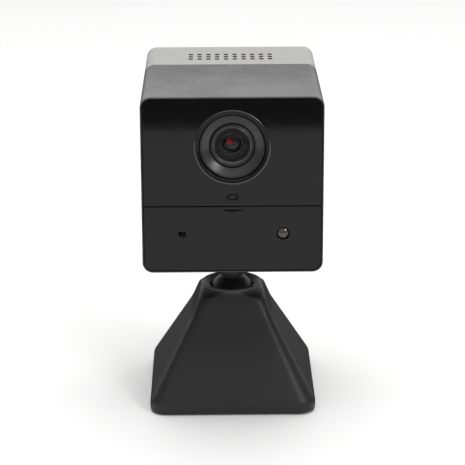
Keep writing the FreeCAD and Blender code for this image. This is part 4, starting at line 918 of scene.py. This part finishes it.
# Lengths in millimetres; SHOULDER is a ring, as (half width, corner radius, height).
BAND_TOP = 3.8
FOOT_CORNER_R = 5.0
FOOT_ROUND = 0.5
FOOT_LIP = 0.15
SHELL_WALL = 2.0
SHOULDER = (11.9, 2.6, 26.0)
CREASE_SHARE = 0.77
CREASE_TOP_R = 3.2
RIM_W = 2.3
RIM_ROUND = 0.6
RIM_SINK = 1.3
DISH_POWER = 1.4
OPENING_OVERLAP = 0.1
SOCKET_GAP = 0.06
SOCKET_LEDGE = 1.6
MOST_SOFTENED = 0.45


def lerp(first, second, share):
    return tuple(a + (b - a) * share for a, b in zip(first, second))


def softened_profile(keys, sway=1.1, steps=6):
    """(half, corner radius, height) rings through keys, each inner key rounded over sway millimetres."""
    rings = [keys[0]]
    for before, key, after in zip(keys, keys[1:], keys[2:]):
        reach_in = min(MOST_SOFTENED, sway / (key[2] - before[2]))
        reach_out = min(MOST_SOFTENED, sway / (after[2] - key[2]))
        start = lerp(key, before, reach_in)
        end = lerp(key, after, reach_out)
        for k in range(steps + 1):
            t = k / steps
            rings.append(lerp(lerp(start, key, t), lerp(key, end, t), t))
    rings.append(keys[-1])
    return rings


def foot_rings(foot, side):
    """Inside of the rim at the foot, and the round of its outer edge."""
    inner = side - SHELL_WALL
    inner_corner = FOOT_CORNER_R - SHELL_WALL
    rings = [(inner, inner_corner, BAND_TOP), (inner, inner_corner, foot + FOOT_LIP),
             (inner + FOOT_LIP, inner_corner + 0.1, foot)]
    steps = 4
    for k in range(steps + 1):
        angle = math.pi / 2 * k / steps
        out = FOOT_ROUND * (math.sin(angle) - 1)
        rings.append((side + out, FOOT_CORNER_R + out, foot + FOOT_ROUND * (1 - math.cos(angle))))
    return rings


def side_rings(foot, side, rim, rim_start):
    """Band, slope and shoulder, where the square slope turns into the round rim."""
    crease = lerp(SHOULDER, (rim, rim, rim_start), CREASE_SHARE)
    keys = [(side, FOOT_CORNER_R, foot + FOOT_ROUND), (side, FOOT_CORNER_R, BAND_TOP), SHOULDER,
            (crease[0], CREASE_TOP_R, crease[2]), (rim, rim, rim_start)]
    return softened_profile(keys)[1:]


def rim_rings(top, rim, rim_start, opening):
    """Round of the rim's outer edge, then the dish that falls to the opening."""
    rings = []
    steps = 6
    for k in range(1, steps + 1):
        angle = math.pi / 2 * k / steps
        half = rim - RIM_ROUND * (1 - math.cos(angle))
        rings.append((half, half, rim_start + RIM_ROUND * math.sin(angle)))
    dish = rim - RIM_ROUND - opening
    steps = 8
    for k in range(1, steps + 1):
        t = k / steps
        half = rim - RIM_ROUND - dish * t
        rings.append((half, half, top - RIM_SINK * math.sin(t * math.pi / 2) ** DISH_POWER))
    return rings


def socket_rings(top, side, opening):
    """Ledge under the opening, the socket's wall, and the floor out to the sloping wall."""
    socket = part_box("socket_liner")[1][0] / MM + SOCKET_GAP
    floor_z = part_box("ball_retainer")[1][2] / MM
    ledge = top - SOCKET_LEDGE
    slope = (SHOULDER[0] - side) / (SHOULDER[2] - BAND_TOP)
    inside = side + slope * (floor_z - BAND_TOP) - SHELL_WALL
    return [(opening, opening, ledge), (socket, socket, ledge), (socket, socket, floor_z),
            (inside, SHOULDER[1], floor_z)]


def base_rings():
    """(half, corner radius, height) from the inner foot edge, up the outside and down into the socket."""
    low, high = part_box("base_shell")
    foot, top, side = low[2] / MM, high[2] / MM, high[0] / MM
    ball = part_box("ball_stud")[1][0] / MM
    rim = ball + RIM_W
    rim_start = top - RIM_ROUND
    opening = ball - OPENING_OVERLAP
    return (foot_rings(foot, side) + side_rings(foot, side, rim, rim_start)
            + rim_rings(top, rim, rim_start, opening) + socket_rings(top, side, opening))


def add_base_shell():
    rings = [square_ring(*ring) for ring in base_rings()]
    count = len(rings[0])
    vertices = [point for ring in rings for point in ring]
    faces = []
    for level in range(len(rings)):
        here = level * count
        there = (level + 1) % len(rings) * count
        for k in range(count):
            following = (k + 1) % count
            faces.append((here + k, here + following, there + following, there + k))
    piece = new_piece("pyramid_shell", vertices, faces, 38.0)
    return finished(piece, "base", "satin_black", "base_shell")


# ---------------------------------------------------------------- the scene

add_camera()
add_stage()
add_world()
add_lights()
bpy.context.scene.view_settings.view_transform = "Standard"
paint_nodes()
add_trim_ring()
add_bezel()
add_barrel()
add_retainer()
add_front_lens()
add_inner_lens()
add_baffles()
add_base_shell()
add_ball()
